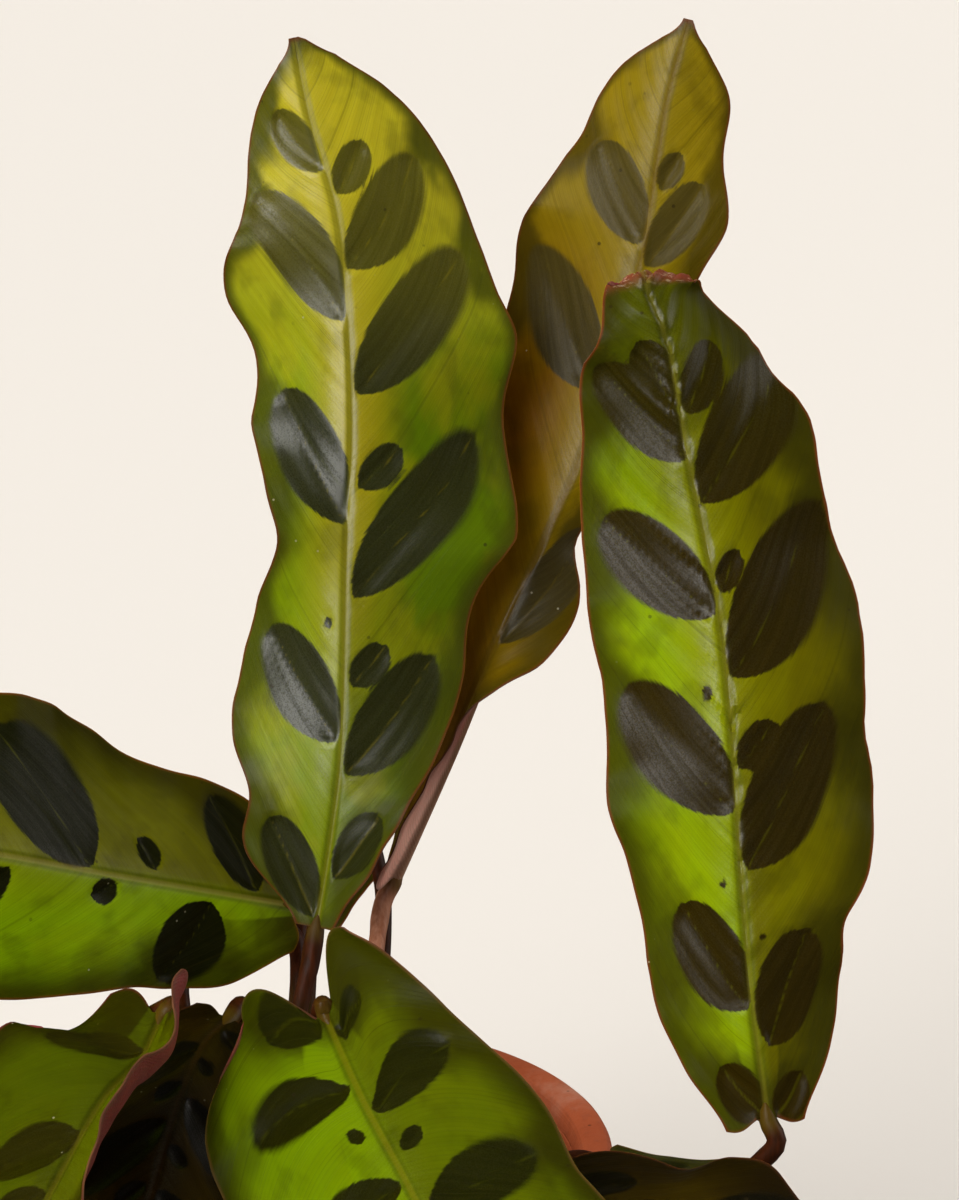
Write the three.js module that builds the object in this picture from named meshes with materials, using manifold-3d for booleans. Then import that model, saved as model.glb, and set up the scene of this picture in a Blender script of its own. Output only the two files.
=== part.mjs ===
// A rattlesnake plant in a plain terracotta pot.
// Millimetres, +Z up. The origin is the middle of the pot's foot, on the surface that it stands on.
// A leaf is a blade and the stalk that carries it, and every stalk stands in its own hole in the soil.
import * as THREE from 'three';
import { mergeVertices } from 'three/addons/utils/BufferGeometryUtils.js';
import Module from 'manifold-3d';

const wasm = await Module();
wasm.setup();

// Between pieces that touch.
const clearance = 0.3;

const pot = {
  height: 110,
  rimRadius: 63.5,
  collarHeight: 24,
  collarFootRadius: 61.5,
  shoulderRadius: 57,
  footRadius: 43,
  wall: 5.5,
  floor: 8,
  drainRadius: 7,
  lip: 2,
  edge: 1.5,
  ledge: 1,
  innerFlare: 0.2,
  sides: 36,
};

const soil = {
  depthBelowRim: 12,
  crown: 1.4,
  slack: 0.6,
  holeDepth: 14,
  holeSlack: 0.4,
  holeSides: 12,
};

const blade = {
  thickness: 0.7,
  ridgeAtStalk: 1.5,
  ridgeAtTip: 0.2,
  ridgeHalfWidth: 2,
  ridgeShare: 0.3,
  tipReach: 0.9,
  liftPower: 1.4,
  lobeEnd: 0.3,
  lobeTurn: 2.26,
  endCrowding: 0.06,
};

// The margin of a blade that isn't measured. swell is how much wider and narrower it gets, rise how far
// it waves up and down, and droop how far it hangs on the whole.
const ripple = {
  steps: 14,
  swell: 0.09,
  swellTurns: 26,
  rise: 3.2,
  riseTurns: 13,
  droop: 1.5,
  lobe: 2.5,
  rightWider: 1.15,
  rightLater: 2.2,
};

const stalk = {
  rootRadius: 2.3,
  topRadius: 1.5,
  sides: 8,
  ringSpacing: 8,
  straightAboveSoil: 8,
  aboveSoil: 2,
  lead: 6,
  sink: 0.9,
};

// How many quads a blade has along and across.
const fine = { along: 22, across: 4 };
const coarse = { along: 15, across: 3 };

// Each leaf: where its stalk leaves the soil, the points that the stalk passes, the rib of the blade
// from the stalk to the tip, and where the upper face looks, at even steps from the stalk to the tip.
// right and left are as seen on the upper face with the tip up. reach is how far that margin lies from
// the rib, lift is how far it is bent up and fold how far the half bulges on the way there, all at even
// steps from the stalk to the tip. lobe is how far that half is drawn back past the stalk. lead is how
// far the stalk runs in line with the rib before it bends away.
const leaves = [
  {
    name: 'tall_left',
    foot: [2, 2],
    stalk: [[2, 0, 132]],
    rib: [[6, 4, 153], [9, 8, 171], [11, 12, 189], [12, 20, 224], [13, 26, 246], [12, 32, 270],
      [10, 35, 287], [5, 38, 304], [2, 40, 319]],
    face: [[0, -1, 0.2], [0, -1, 0.25], [0, -1, 0.25]],
    left: {
      reach: [4, 15.5, 16.5, 22, 21.5, 18, 12.5, 16, 20, 19, 23.5, 20, 15.5, 9.5, 0],
      lift: [0, 2, -3, -5, 3, -3, -5, 1, -2, 0],
      lobe: 0,
    },
    right: {
      reach: [3, 7.5, 12, 18.5, 23, 24.5, 30.5, 32, 29.5, 31.5, 28.5, 25, 20.5, 14.5, 3],
      lift: [2, 6, 1, -3, 2, -4, 1, -4, -1, 0],
      lobe: 0,
    },
    grid: fine,
  },
  {
    name: 'tall_middle',
    foot: [9, 7],
    stalk: [[16, 8, 138]],
    rib: [[20, 18, 158], [30.5, 25, 180], [39.5, 31, 200], [49, 36, 219], [57.5, 41, 238],
      [63, 45, 256], [69, 49, 275], [72, 52, 294], [74, 54, 306], [78, 57, 321]],
    face: [[-0.9, 0.2, 0.3], [-0.6, -0.7, 0.2], [-0.25, -0.95, 0.2], [-0.15, -0.95, 0.2],
      [-0.1, -0.95, 0.25]],
    left: {
      reach: [5, 10, 13, 15, 17, 19, 21, 22, 23, 24, 25.5, 22, 16, 11, 0],
      lift: [2, 5, 6, 2, -1, 1, -3, 1, -2, 0],
      lobe: 4,
    },
    right: {
      reach: [4, 5, 4, 3, 10, 11, 5, 8, 15, 16, 11, 14.5, 12, 11, 1],
      lift: [2, 4, 2, -3, -4, 0, -3, 1, -1, 0],
      lobe: 3,
    },
    grid: fine,
  },
  {
    name: 'tall_right',
    foot: [13, -8],
    stalk: [[38, -27, 118], [60, -40, 119], [76, -48, 121]],
    rib: [[88.5, -52, 138], [85.5, -49, 159], [83.5, -45, 180], [82, -40, 203], [80, -34, 223],
      [77, -29, 239], [74, -25, 253], [71, -21, 270], [67.5, -18, 279.5], [66.5, -14, 283],
      [65.5, -9, 279], [65, -6, 270]],
    face: [[0, -1, 0.2], [0, -1, 0.2], [0, -0.4, 1]],
    left: {
      reach: [7.5, 13.5, 17.5, 18.5, 20, 22.5, 22.5, 22.5, 23, 22, 20.5, 17.5, 15.5, 8.5, 4, 0],
      lift: [0, -3, -5, -1, -5, -3, -5, -3, -1, 0],
      lobe: 2,
    },
    right: {
      reach: [6.5, 14, 17.5, 18, 23.5, 26.5, 25, 25.5, 26.5, 23.5, 22.5, 23.5, 17.5, 10, 6, 0],
      lift: [0, -5, 1, -6, -3, -6, 0, -5, -1, 0],
      lobe: 1.5,
    },
    grid: fine,
  },
  {
    name: 'side_left',
    foot: [1, 8],
    stalk: [[3, 11, 128], [4, 15, 142]],
    rib: [[1, 16, 153], [-15.5, 4, 160.5], [-33, -10, 169], [-50, -25, 178], [-70, -38, 186],
      [-92, -48, 188], [-112, -54, 181], [-126, -57, 168]],
    face: [[-0.1, -0.9, 0.4], [0, -0.9, 0.45], [-0.35, -0.7, 0.6]],
    left: {
      reach: [9, 17, 19.5, 20, 22.5, 25.5, 26.5, 26, 27, 25, 23, 20, 15, 8, 0],
      lift: [0, -2, 1, -3, -4, 1, -3, 1, 0],
      lobe: 3,
    },
    right: {
      reach: [7, 18, 21.5, 23.5, 28.5, 31, 31.5, 30, 31, 29, 26, 22, 17, 10, 0],
      lift: [0, 0, -4, -2, -5, 0, -4, 0, 0],
      lobe: 1,
    },
    grid: fine,
  },
  {
    name: 'low_front',
    foot: [4, -9],
    stalk: [[6, -24, 136]],
    lead: 2,
    rib: [[9.5, -40, 153], [17, -58, 144], [26.5, -79, 135], [36, -98, 122], [43, -113, 105],
      [48, -124, 86], [50, -131, 67], [51, -135, 50]],
    face: [[0, -1, 0.3], [0, -1, 0.35], [0, -1, 0.2]],
    left: {
      reach: [9, 16.5, 22.5, 27, 27.5, 31, 31, 28, 24.5, 21, 16, 9, 0],
      lift: [6, 2, -3, -5, -1, -4, 1, -1, 0],
      lobe: 13.5,
    },
    right: {
      reach: [15.5, 27, 30, 32, 31, 31, 30, 28, 25, 21, 15, 9, 0],
      lift: [-1, 1, -3, -6, 0, -3, 1, -1, 0],
      lobe: 15,
    },
    grid: fine,
  },
  {
    name: 'low_front_left',
    foot: [-21, 4],
    stalk: [[-31, -14, 122], [-38, -31, 138]],
    lead: 2,
    rib: [[-19.5, -41, 153.5], [-22.5, -51, 149], [-27.5, -61, 146.5], [-31.5, -70, 142],
      [-38, -88, 133], [-46, -106, 119], [-53, -120, 101], [-58, -129, 81], [-61, -134, 62]],
    face: [[-0.2, -0.9, 0.4], [-0.2, -0.9, 0.4], [-0.1, -0.9, 0.4]],
    left: {
      reach: [1.5, 2.5, 3.5, 4, 6, 9, 12, 14, 14, 12, 9, 5, 0],
      lift: [7, 11, 11, 8, 4, 3, 2, 0, 0],
      fold: [1.5, 2, 2, 1, 0, 0, 0, 0, 0],
      lobe: 6,
    },
    right: {
      reach: [12, 20.5, 26.5, 28, 28, 27.5, 27, 26, 24, 21, 16, 9, 0],
      lift: [-1, -1, -2, -4, 0, -3, 1, -1, 0],
      lobe: 6,
    },
    grid: fine,
  },
  {
    name: 'shaded_left',
    foot: [-10, 3],
    stalk: [[-8, -1, 126]],
    rib: [[-10, -10, 140], [-14, -20, 139], [-17, -33, 135], [-20, -49, 127], [-24, -67, 115],
      [-28, -81, 99], [-31, -91, 79]],
    face: [[0, -0.7, 0.7], [0, -0.8, 0.6], [0, -0.9, 0.3]],
    edge: { width: 16, phase: 1.1 },
  },
  {
    name: 'shaded_right',
    foot: [10, -15],
    stalk: [[24, -36, 118], [38, -50, 122]],
    rib: [[48, -62, 126.5], [58, -68, 128.5], [68, -74, 127], [82, -80, 122], [96, -85, 111],
      [108, -88, 97], [116, -90, 80]],
    face: [[-0.1, -0.6, 0.8], [0.1, -0.7, 0.7], [0.4, -0.7, 0.5]],
    edge: { width: 19, phase: 2.9 },
  },
  {
    name: 'far_left',
    foot: [-5, 12],
    stalk: [[0, 24, 122], [1, 28, 134]],
    rib: [[-6, 34, 143], [-22, 43, 146], [-42, 51, 151], [-62, 58, 160], [-83, 61, 172],
      [-103, 60, 180], [-122, 57, 184]],
    face: [[0, -0.8, 0.6], [0, -0.9, 0.45], [-0.2, -0.85, 0.5]],
    edge: { width: 19, phase: 0.4 },
  },
  {
    name: 'back_upright',
    foot: [8, 15],
    stalk: [[16, 28, 124], [18, 36, 146]],
    rib: [[15, 42, 163], [13, 48, 182], [14, 58, 206], [18, 72, 232], [20, 88, 255]],
    face: [[0, -1, 0.3], [0, -1, 0.4], [0, -1, 0.5]],
    edge: { width: 12, phase: 4.2 },
  },
  {
    name: 'back_left',
    foot: [-14, 9],
    stalk: [[-21, 26, 116]],
    rib: [[-28, 46, 130], [-44, 68, 133], [-60, 90, 128], [-74, 108, 116], [-84, 120, 98]],
    face: [[0, -0.2, 1], [-0.2, 0.2, 1], [-0.5, 0.5, 0.7]],
    edge: { width: 17, phase: 5.3 },
  },
  {
    name: 'back',
    foot: [-1, 18],
    stalk: [[0, 36, 122]],
    rib: [[-1, 53, 137], [-5, 72, 141], [-9, 94, 138], [-13, 117, 127], [-16, 133, 108]],
    face: [[0, -0.2, 1], [0, 0.2, 1], [0, 0.7, 0.7]],
    edge: { width: 19, phase: 2.2 },
  },
  {
    name: 'low_right',
    foot: [17, -1],
    stalk: [[36, -20, 112], [50, -24, 116]],
    rib: [[62, -28, 118], [76, -34, 116], [94, -38, 104], [111, -38, 86], [124, -36, 65]],
    face: [[0, -0.3, 1], [0.3, -0.3, 0.9], [0.7, -0.3, 0.6]],
    edge: { width: 18, phase: 3.6 },
  },
  {
    name: 'low_middle',
    foot: [-2, -16],
    stalk: [[4, -47, 113]],
    rib: [[7, -66, 115], [8, -84, 110], [9, -104, 96], [9, -120, 75], [9, -129, 52]],
    face: [[0, -0.3, 1], [0, -0.6, 0.8], [0, -0.9, 0.4]],
    edge: { width: 18, phase: 0.9 },
  },
  {
    name: 'low_right_front',
    foot: [16, -17],
    stalk: [[32, -48, 112]],
    rib: [[44, -66, 112], [57, -84, 104], [70, -100, 90], [80, -113, 71], [86, -121, 50]],
    face: [[0.2, -0.3, 1], [0.4, -0.5, 0.8], [0.6, -0.7, 0.4]],
    edge: { width: 17, phase: 5.0 },
  },
  {
    name: 'low_left_front',
    foot: [-13, -12],
    stalk: [[-38, -44, 113]],
    rib: [[-50, -56, 114], [-66, -72, 108], [-83, -87, 95], [-97, -99, 76], [-105, -107, 55]],
    face: [[-0.2, -0.3, 1], [-0.4, -0.5, 0.8], [-0.6, -0.7, 0.4]],
    edge: { width: 18, phase: 1.7 },
  },
  {
    name: 'low_left',
    foot: [-16, -4],
    stalk: [[-46, -16, 115]],
    rib: [[-60, -22, 119], [-78, -28, 117], [-98, -32, 106], [-114, -34, 88], [-124, -35, 66]],
    face: [[-0.2, -0.3, 1], [-0.3, -0.3, 0.9], [-0.7, -0.4, 0.6]],
    edge: { width: 19, phase: 3.1 },
  },
];

const finish = {
  blade: new THREE.MeshStandardMaterial({ color: 0x5f7312, roughness: 0.42, metalness: 0 }),
  stalk: new THREE.MeshStandardMaterial({ color: 0x58402f, roughness: 0.55, metalness: 0 }),
  soil: new THREE.MeshStandardMaterial({ color: 0x3b2a1f, roughness: 0.95, metalness: 0 }),
  pot: new THREE.MeshStandardMaterial({ color: 0xb5734f, roughness: 0.85, metalness: 0 }),
};

const vector = ([x, y, z]) => new THREE.Vector3(x, y, z);

function smoothCurve(points) {
  return new THREE.CatmullRomCurve3(points, false, 'catmullrom', 0.5);
}

// A value at t, from 0 to 1, on a smooth line through evenly spaced values.
function along(values, t) {
  const curve = new THREE.SplineCurve(values.map((value, i) => new THREE.Vector2(i, value)));
  return curve.getPoint(t).y;
}

// Half width and bend of a blade that isn't measured: a long oval with a rippled margin.
function rippled(width, phase) {
  const reach = [];
  const lift = [];
  for (let i = 0; i <= ripple.steps; i += 1) {
    const t = i / ripple.steps;
    const oval = Math.sin(Math.PI * (t * 0.96 + 0.04) ** 0.8) ** 0.62 * (1 - t ** 12);
    const swell = ripple.swell * Math.sin(ripple.swellTurns * t + 2 * phase);
    const rise = ripple.rise * Math.sin(ripple.riseTurns * t + phase);
    reach.push(width * oval * (1 + swell));
    lift.push(oval * (rise - ripple.droop));
  }
  return { reach, lift, lobe: ripple.lobe };
}

// Where the upper face looks at t, at right angles to the rib.
function facing(face, t, tangent) {
  const place = t * (face.length - 1);
  const i = Math.min(Math.floor(place), face.length - 2);
  const look = vector(face[i]).lerp(vector(face[i + 1]), place - i);
  return look.addScaledVector(tangent, -look.dot(tangent)).normalize();
}

function ribFrame(leaf, t) {
  const curve = smoothCurve(leaf.rib.map(vector));
  const tangent = curve.getTangentAt(t);
  const normal = facing(leaf.face, t, tangent);
  const side = new THREE.Vector3().crossVectors(tangent, normal);
  return { point: curve.getPointAt(t), tangent, normal, side };
}

// The steps from the rib to one margin: the first is the edge of the ridge, the last the margin.
function crossSteps(width, count) {
  const first = Math.min(blade.ridgeHalfWidth / width, blade.ridgeShare);
  const steps = [];
  for (let i = 0; i < count; i += 1) {
    steps.push(first + (1 - first) * (i / (count - 1)));
  }
  return steps;
}

// One row of points across the blade, from the left margin over the rib to the right one.
function bladeRow(leaf, t, across) {
  const { point, tangent, normal, side } = ribFrame(leaf, t);
  const half = (edge, sign) => {
    const reach = along(edge.reach, t) + blade.tipReach * t;
    const lift = along(edge.lift, t);
    const fold = edge.fold ? along(edge.fold, t) : 0;
    const back = edge.lobe * Math.max(0, 1 - t / blade.lobeEnd);
    const steps = crossSteps(Math.hypot(reach, lift), across);
    return steps.map((s, i) => point.clone()
      .addScaledVector(side, sign * (reach * s + fold * Math.sin(Math.PI * s)))
      .addScaledVector(normal, lift * s ** blade.liftPower)
      .addScaledVector(tangent, -back * Math.sin((blade.lobeTurn * i) / (across - 1))));
  };
  return [...half(leaf.left, -1).reverse(), point, ...half(leaf.right, 1)];
}

// Rows closer together at both ends of the blade, where its outline turns fastest.
function rowPlace(i, rows) {
  const u = i / rows;
  return u - blade.endCrowding * Math.sin(2 * Math.PI * u);
}

function surfaceNormal(rows, i, j) {
  const last = rows.length - 1;
  const end = rows[0].length - 1;
  const ahead = rows[Math.min(i + 1, last)][j].clone().sub(rows[Math.max(i - 1, 0)][j]);
  const across = rows[i][Math.min(j + 1, end)].clone().sub(rows[i][Math.max(j - 1, 0)]);
  return across.cross(ahead).normalize();
}

// A closed thin solid under a grid of points, with the ridge of the rib below its middle column.
function bladeGeometry(leaf) {
  const { along: count, across } = leaf.grid;
  const rows = [];
  for (let i = 0; i <= count; i += 1) {
    rows.push(bladeRow(leaf, rowPlace(i, count), across));
  }
  const columns = rows[0].length;
  const top = rows.flat();
  const bottom = rows.flatMap((row, i) => row.map((point, j) => {
    const t = rowPlace(i, count);
    const ridge = j === across ? THREE.MathUtils.lerp(blade.ridgeAtStalk, blade.ridgeAtTip, t) : 0;
    return point.clone().addScaledVector(surfaceNormal(rows, i, j), -blade.thickness - ridge);
  }));
  const index = [];
  const under = top.length;
  for (let i = 0; i < count; i += 1) {
    for (let j = 0; j < columns - 1; j += 1) {
      const a = i * columns + j;
      const b = a + 1;
      const c = a + columns;
      const d = c + 1;
      index.push(a, b, c, b, d, c);
      index.push(under + a, under + c, under + b, under + b, under + c, under + d);
    }
  }
  const rim = [];
  for (let j = 0; j < columns - 1; j += 1) rim.push(j);
  for (let i = 0; i < count; i += 1) rim.push(i * columns + columns - 1);
  for (let j = columns - 1; j > 0; j -= 1) rim.push(count * columns + j);
  for (let i = count; i > 0; i -= 1) rim.push(i * columns);
  rim.forEach((a, k) => {
    const b = rim[(k + 1) % rim.length];
    index.push(b, a, under + a, b, under + a, under + b);
  });
  return indexed([...top, ...bottom], index);
}

function indexed(points, index) {
  const geometry = new THREE.BufferGeometry();
  geometry.setFromPoints(points);
  geometry.setIndex(index);
  geometry.computeVertexNormals();
  return geometry;
}

const soilTop = pot.height - soil.depthBelowRim;
const holeFloor = soilTop - soil.holeDepth;

// The stalk's middle line: upright in the soil, then over its bends, and in line with the rib at the top.
function stalkCurve(leaf) {
  const { point, tangent, normal } = ribFrame(leaf, 0);
  const top = point.clone().addScaledVector(tangent, -clearance).addScaledVector(normal, -stalk.sink);
  const [x, y] = leaf.foot;
  const low = holeFloor + clearance;
  const high = soilTop + stalk.straightAboveSoil;
  const mouth = soilTop + stalk.aboveSoil;
  const upright = [low, (low + mouth) / 2, mouth, high];
  return smoothCurve([
    ...upright.map((z) => vector([x, y, z])),
    ...leaf.stalk.map(vector),
    top.clone().addScaledVector(tangent, -(leaf.lead ?? stalk.lead)),
    top,
  ]);
}

// A closed round stalk that tapers from its root to the blade.
function stalkGeometry(leaf) {
  const curve = stalkCurve(leaf);
  const { sides } = stalk;
  const rings = Math.ceil(curve.getLength() / stalk.ringSpacing);
  const frames = curve.computeFrenetFrames(rings, false);
  const points = [];
  for (let i = 0; i <= rings; i += 1) {
    const centre = curve.getPointAt(i / rings);
    const radius = THREE.MathUtils.lerp(stalk.rootRadius, stalk.topRadius, i / rings);
    for (let k = 0; k < sides; k += 1) {
      const turn = (2 * Math.PI * k) / sides;
      points.push(centre.clone()
        .addScaledVector(frames.normals[i], radius * Math.cos(turn))
        .addScaledVector(frames.binormals[i], radius * Math.sin(turn)));
    }
  }
  const index = [];
  for (let i = 0; i < rings; i += 1) {
    for (let k = 0; k < sides; k += 1) {
      const a = i * sides + k;
      const b = i * sides + ((k + 1) % sides);
      index.push(a, b, a + sides, b, b + sides, a + sides);
    }
  }
  const last = rings * sides;
  for (let k = 1; k < sides - 1; k += 1) {
    index.push(0, k + 1, k, last, last + k, last + k + 1);
  }
  return indexed(points, index);
}

const profile = (pairs) => pairs.map(([radius, height]) => new THREE.Vector2(radius, height));

// A turned shape: the profile runs up the outside and back down the inside.
function turned(pairs) {
  const geometry = new THREE.LatheGeometry(profile(pairs), pot.sides);
  geometry.rotateX(Math.PI / 2);
  return geometry;
}

const collarFoot = pot.height - pot.collarHeight;

// The inner radius of the pot at a height: it widens up to the collar, and more slowly above it.
function innerRadius(z) {
  const share = Math.min((z - pot.floor) / (collarFoot - pot.floor), 1);
  const narrow = pot.footRadius - pot.wall + pot.ledge;
  const wide = pot.shoulderRadius - pot.wall;
  return THREE.MathUtils.lerp(narrow, wide, share) + Math.max(0, z - collarFoot) * pot.innerFlare;
}

function potGeometry() {
  const rimInner = innerRadius(pot.height);
  return turned([
    [pot.drainRadius, 0],
    [pot.footRadius - pot.edge, 0],
    [pot.footRadius, pot.edge],
    [pot.shoulderRadius, collarFoot],
    [pot.collarFootRadius - pot.ledge, collarFoot],
    [pot.collarFootRadius, collarFoot + pot.edge],
    [pot.rimRadius, pot.height - pot.lip],
    [pot.rimRadius - pot.lip, pot.height],
    [rimInner + pot.lip, pot.height],
    [rimInner, pot.height - pot.lip],
    [innerRadius(collarFoot), collarFoot],
    [innerRadius(pot.floor), pot.floor],
    [pot.drainRadius, pot.floor],
    [pot.drainRadius, 0],
  ]);
}

// The soil fills the pot up to a shallow crown.
function soilGeometry() {
  const low = pot.floor + clearance;
  const fit = (z) => innerRadius(z) - soil.slack;
  return turned([
    [0, low],
    [fit(low), low],
    [fit(collarFoot), collarFoot],
    [fit(soilTop), soilTop],
    [fit(soilTop) / 2, soilTop + soil.crown * 0.75],
    [0, soilTop + soil.crown],
  ]);
}

function toSolid(geometry) {
  const bare = new THREE.BufferGeometry();
  bare.setAttribute('position', geometry.getAttribute('position'));
  bare.setIndex(geometry.getIndex());
  const merged = mergeVertices(bare);
  const corners = merged.getIndex().array;
  const kept = [];
  for (let i = 0; i < corners.length; i += 3) {
    const [a, b, c] = corners.slice(i, i + 3);
    if (a !== b && b !== c && c !== a) kept.push(a, b, c);
  }
  return new wasm.Manifold(new wasm.Mesh({
    numProp: 3,
    vertProperties: new Float32Array(merged.getAttribute('position').array),
    triVerts: new Uint32Array(kept),
  }));
}

function fromSolid(solid) {
  const mesh = solid.getMesh();
  const geometry = new THREE.BufferGeometry();
  geometry.setAttribute('position', new THREE.BufferAttribute(mesh.vertProperties, 3));
  geometry.setIndex(new THREE.BufferAttribute(mesh.triVerts, 1));
  geometry.computeVertexNormals();
  return geometry;
}

// A plain upright hole for one stalk.
function holeGeometry([x, y]) {
  const length = soil.holeDepth + 2 * soil.crown;
  const radius = stalk.rootRadius + soil.holeSlack;
  const hole = new THREE.CylinderGeometry(radius, radius, length, soil.holeSides);
  hole.rotateX(Math.PI / 2);
  hole.translate(x, y, holeFloor + length / 2);
  return hole;
}

function piece(name, geometry, material) {
  const mesh = new THREE.Mesh(geometry, material);
  mesh.name = name;
  return mesh;
}

const plant = new THREE.Group();
plant.add(piece('pot', potGeometry(), finish.pot));

let earth = toSolid(soilGeometry());
for (const leaf of leaves) {
  earth = earth.subtract(toSolid(holeGeometry(leaf.foot)));
}
plant.add(piece('soil', fromSolid(earth), finish.soil));

for (const leaf of leaves) {
  const drawn = {
    ...leaf,
    left: leaf.left ?? rippled(leaf.edge.width, leaf.edge.phase),
    right: leaf.right ?? rippled(leaf.edge.width * ripple.rightWider, leaf.edge.phase + ripple.rightLater),
    grid: leaf.grid ?? coarse,
  };
  plant.add(piece(`blade_${leaf.name}`, bladeGeometry(drawn), finish.blade));
  plant.add(piece(`stalk_${leaf.name}`, stalkGeometry(drawn), finish.stalk));
}

export default plant;
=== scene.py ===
import math
import random

import bpy
import numpy as np
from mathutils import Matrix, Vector


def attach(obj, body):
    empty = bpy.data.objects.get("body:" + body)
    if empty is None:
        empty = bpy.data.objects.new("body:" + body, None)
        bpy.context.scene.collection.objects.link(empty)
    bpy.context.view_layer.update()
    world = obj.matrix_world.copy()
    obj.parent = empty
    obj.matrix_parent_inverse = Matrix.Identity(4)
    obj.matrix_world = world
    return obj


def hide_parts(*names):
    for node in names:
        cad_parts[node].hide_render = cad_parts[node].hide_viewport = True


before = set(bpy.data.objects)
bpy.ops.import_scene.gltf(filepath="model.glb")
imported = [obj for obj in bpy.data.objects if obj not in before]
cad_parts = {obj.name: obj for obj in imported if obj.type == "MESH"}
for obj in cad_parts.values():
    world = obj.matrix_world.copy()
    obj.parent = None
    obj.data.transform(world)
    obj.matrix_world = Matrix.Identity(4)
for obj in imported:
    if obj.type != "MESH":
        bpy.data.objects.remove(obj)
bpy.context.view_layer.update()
mm = 0.001  # the plant's and the pot's sizes below are in millimetres, as in the CAD


# small helpers

def deselectAll():
    bpy.ops.object.select_all(action="DESELECT")


def makeActive(piece):
    deselectAll()
    piece.select_set(True)
    bpy.context.view_layer.objects.active = piece


def editAll():
    bpy.ops.object.mode_set(mode="EDIT")
    bpy.ops.mesh.select_all(action="SELECT")


def leaveEdit():
    bpy.ops.object.mode_set(mode="OBJECT")


def addObject(name, data):
    item = bpy.data.objects.new(name, data)
    bpy.context.scene.collection.objects.link(item)
    return item


def applyAll(piece):
    makeActive(piece)
    for modifier in list(piece.modifiers):
        bpy.ops.object.modifier_apply(modifier=modifier.name)


def handIn(piece, node, angle):
    # faces that meet at less than this angle shade as one
    makeActive(piece)
    bpy.ops.object.shade_smooth_by_angle(angle=math.radians(angle))
    bpy.ops.object.transform_apply(location=True, rotation=True, scale=True)
    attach(piece, "root")
    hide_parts(node)


def readPoints(mesh):
    flat = np.empty(len(mesh.vertices) * 3)
    mesh.vertices.foreach_get("co", flat)
    return flat.reshape(-1, 3)


def writePoints(mesh, points):
    mesh.vertices.foreach_set("co", np.asarray(points, float).ravel())
    mesh.update()


def keepVector(mesh, name, columns):
    # a vector for each vertex, which the material reads by this name
    attribute = mesh.attributes.new(name, "FLOAT_VECTOR", "POINT")
    attribute.data.foreach_set("vector", np.stack(columns, 1).astype(np.float32).ravel())


def keepWeights(piece, name, values):
    group = piece.vertex_groups.new(name=name)
    for i, value in enumerate(values):
        group.add([i], float(value), "REPLACE")
    return group


def pullUp(profile, unit):
    # the selected ring, drawn up and out from edge to edge as on a wheel
    radius, height = profile[0]
    for nextRadius, nextHeight in profile[1:]:
        rise = (nextHeight - height) * unit
        bpy.ops.mesh.extrude_region_move(TRANSFORM_OT_translate={"value": (0, 0, rise)})
        grow = nextRadius / radius
        bpy.ops.transform.resize(value=(grow, grow, 1), center_override=(0, 0, 0))
        radius, height = nextRadius, nextHeight


# shader helpers

def paint(red, green, blue):
    # a colour as a screen shows it, 0 to 255, as the linear one that a shader takes
    def linear(value):
        share = value / 255
        return share / 12.92 if share < 0.04045 else ((share + 0.055) / 1.055) ** 2.4
    return (linear(red), linear(green), linear(blue), 1)


def newMaterial(name):
    material = bpy.data.materials.new(name)
    material.use_nodes = True
    material.node_tree.nodes.clear()
    return material, material.node_tree


def addNode(tree, kind, **settings):
    node = tree.nodes.new(kind)
    for key, value in settings.items():
        setattr(node, key, value)
    return node


def fedNode(tree, kind, inputs, **settings):
    # inputs: what each socket takes, by the socket's name or number
    node = addNode(tree, kind, **settings)
    for label, value in inputs.items():
        if isinstance(value, bpy.types.NodeSocket):
            tree.links.new(value, node.inputs[label])
        else:
            node.inputs[label].default_value = value
    return node


def maths(tree, operation, *values):
    return fedNode(tree, "ShaderNodeMath", dict(enumerate(values)), operation=operation).outputs[0]


def times(tree, first, second):
    return maths(tree, "MULTIPLY", first, second)


def ramp(tree, value, low, high, start=0.0, end=1.0):
    # a soft step: start below low, end above high
    values = dict(enumerate((value, low, high, start, end)))
    return fedNode(tree, "ShaderNodeMapRange", values, interpolation_type="SMOOTHSTEP").outputs[0]


def blendColours(tree, share, first, second, how="MIX"):
    values = {0: share, 6: first, 7: second}
    return fedNode(tree, "ShaderNodeMix", values, data_type="RGBA", blend_type=how).outputs[2]


def layered(tree, colour, *layers):
    # colours laid over one another, each by its own share
    for share, over in layers:
        colour = blendColours(tree, share, colour, over)
    return colour


def noise(tree, place, scale, detail=3.0, rough=0.5):
    return fedNode(tree, "ShaderNodeTexNoise", {
        "Vector": place, "Scale": scale, "Detail": detail, "Roughness": rough}).outputs[0]


def noiseAlong(tree, value, scale, detail):
    values = {"W": value, "Scale": scale, "Detail": detail}
    return fedNode(tree, "ShaderNodeTexNoise", values, noise_dimensions="1D").outputs[0]


def cells(tree, place, scale):
    # how far it is to the nearest of many scattered middles
    return fedNode(tree, "ShaderNodeTexVoronoi", {"Vector": place, "Scale": scale}).outputs["Distance"]


def stretched(tree, place, sizes):
    return fedNode(tree, "ShaderNodeVectorMath", {0: place, 1: sizes}, operation="MULTIPLY").outputs[0]


def objectPlace(tree):
    return addNode(tree, "ShaderNodeTexCoord").outputs["Object"]


def attributeParts(tree, name):
    vector = addNode(tree, "ShaderNodeAttribute", attribute_name=name).outputs["Vector"]
    return vector, fedNode(tree, "ShaderNodeSeparateXYZ", {0: vector}).outputs


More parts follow.
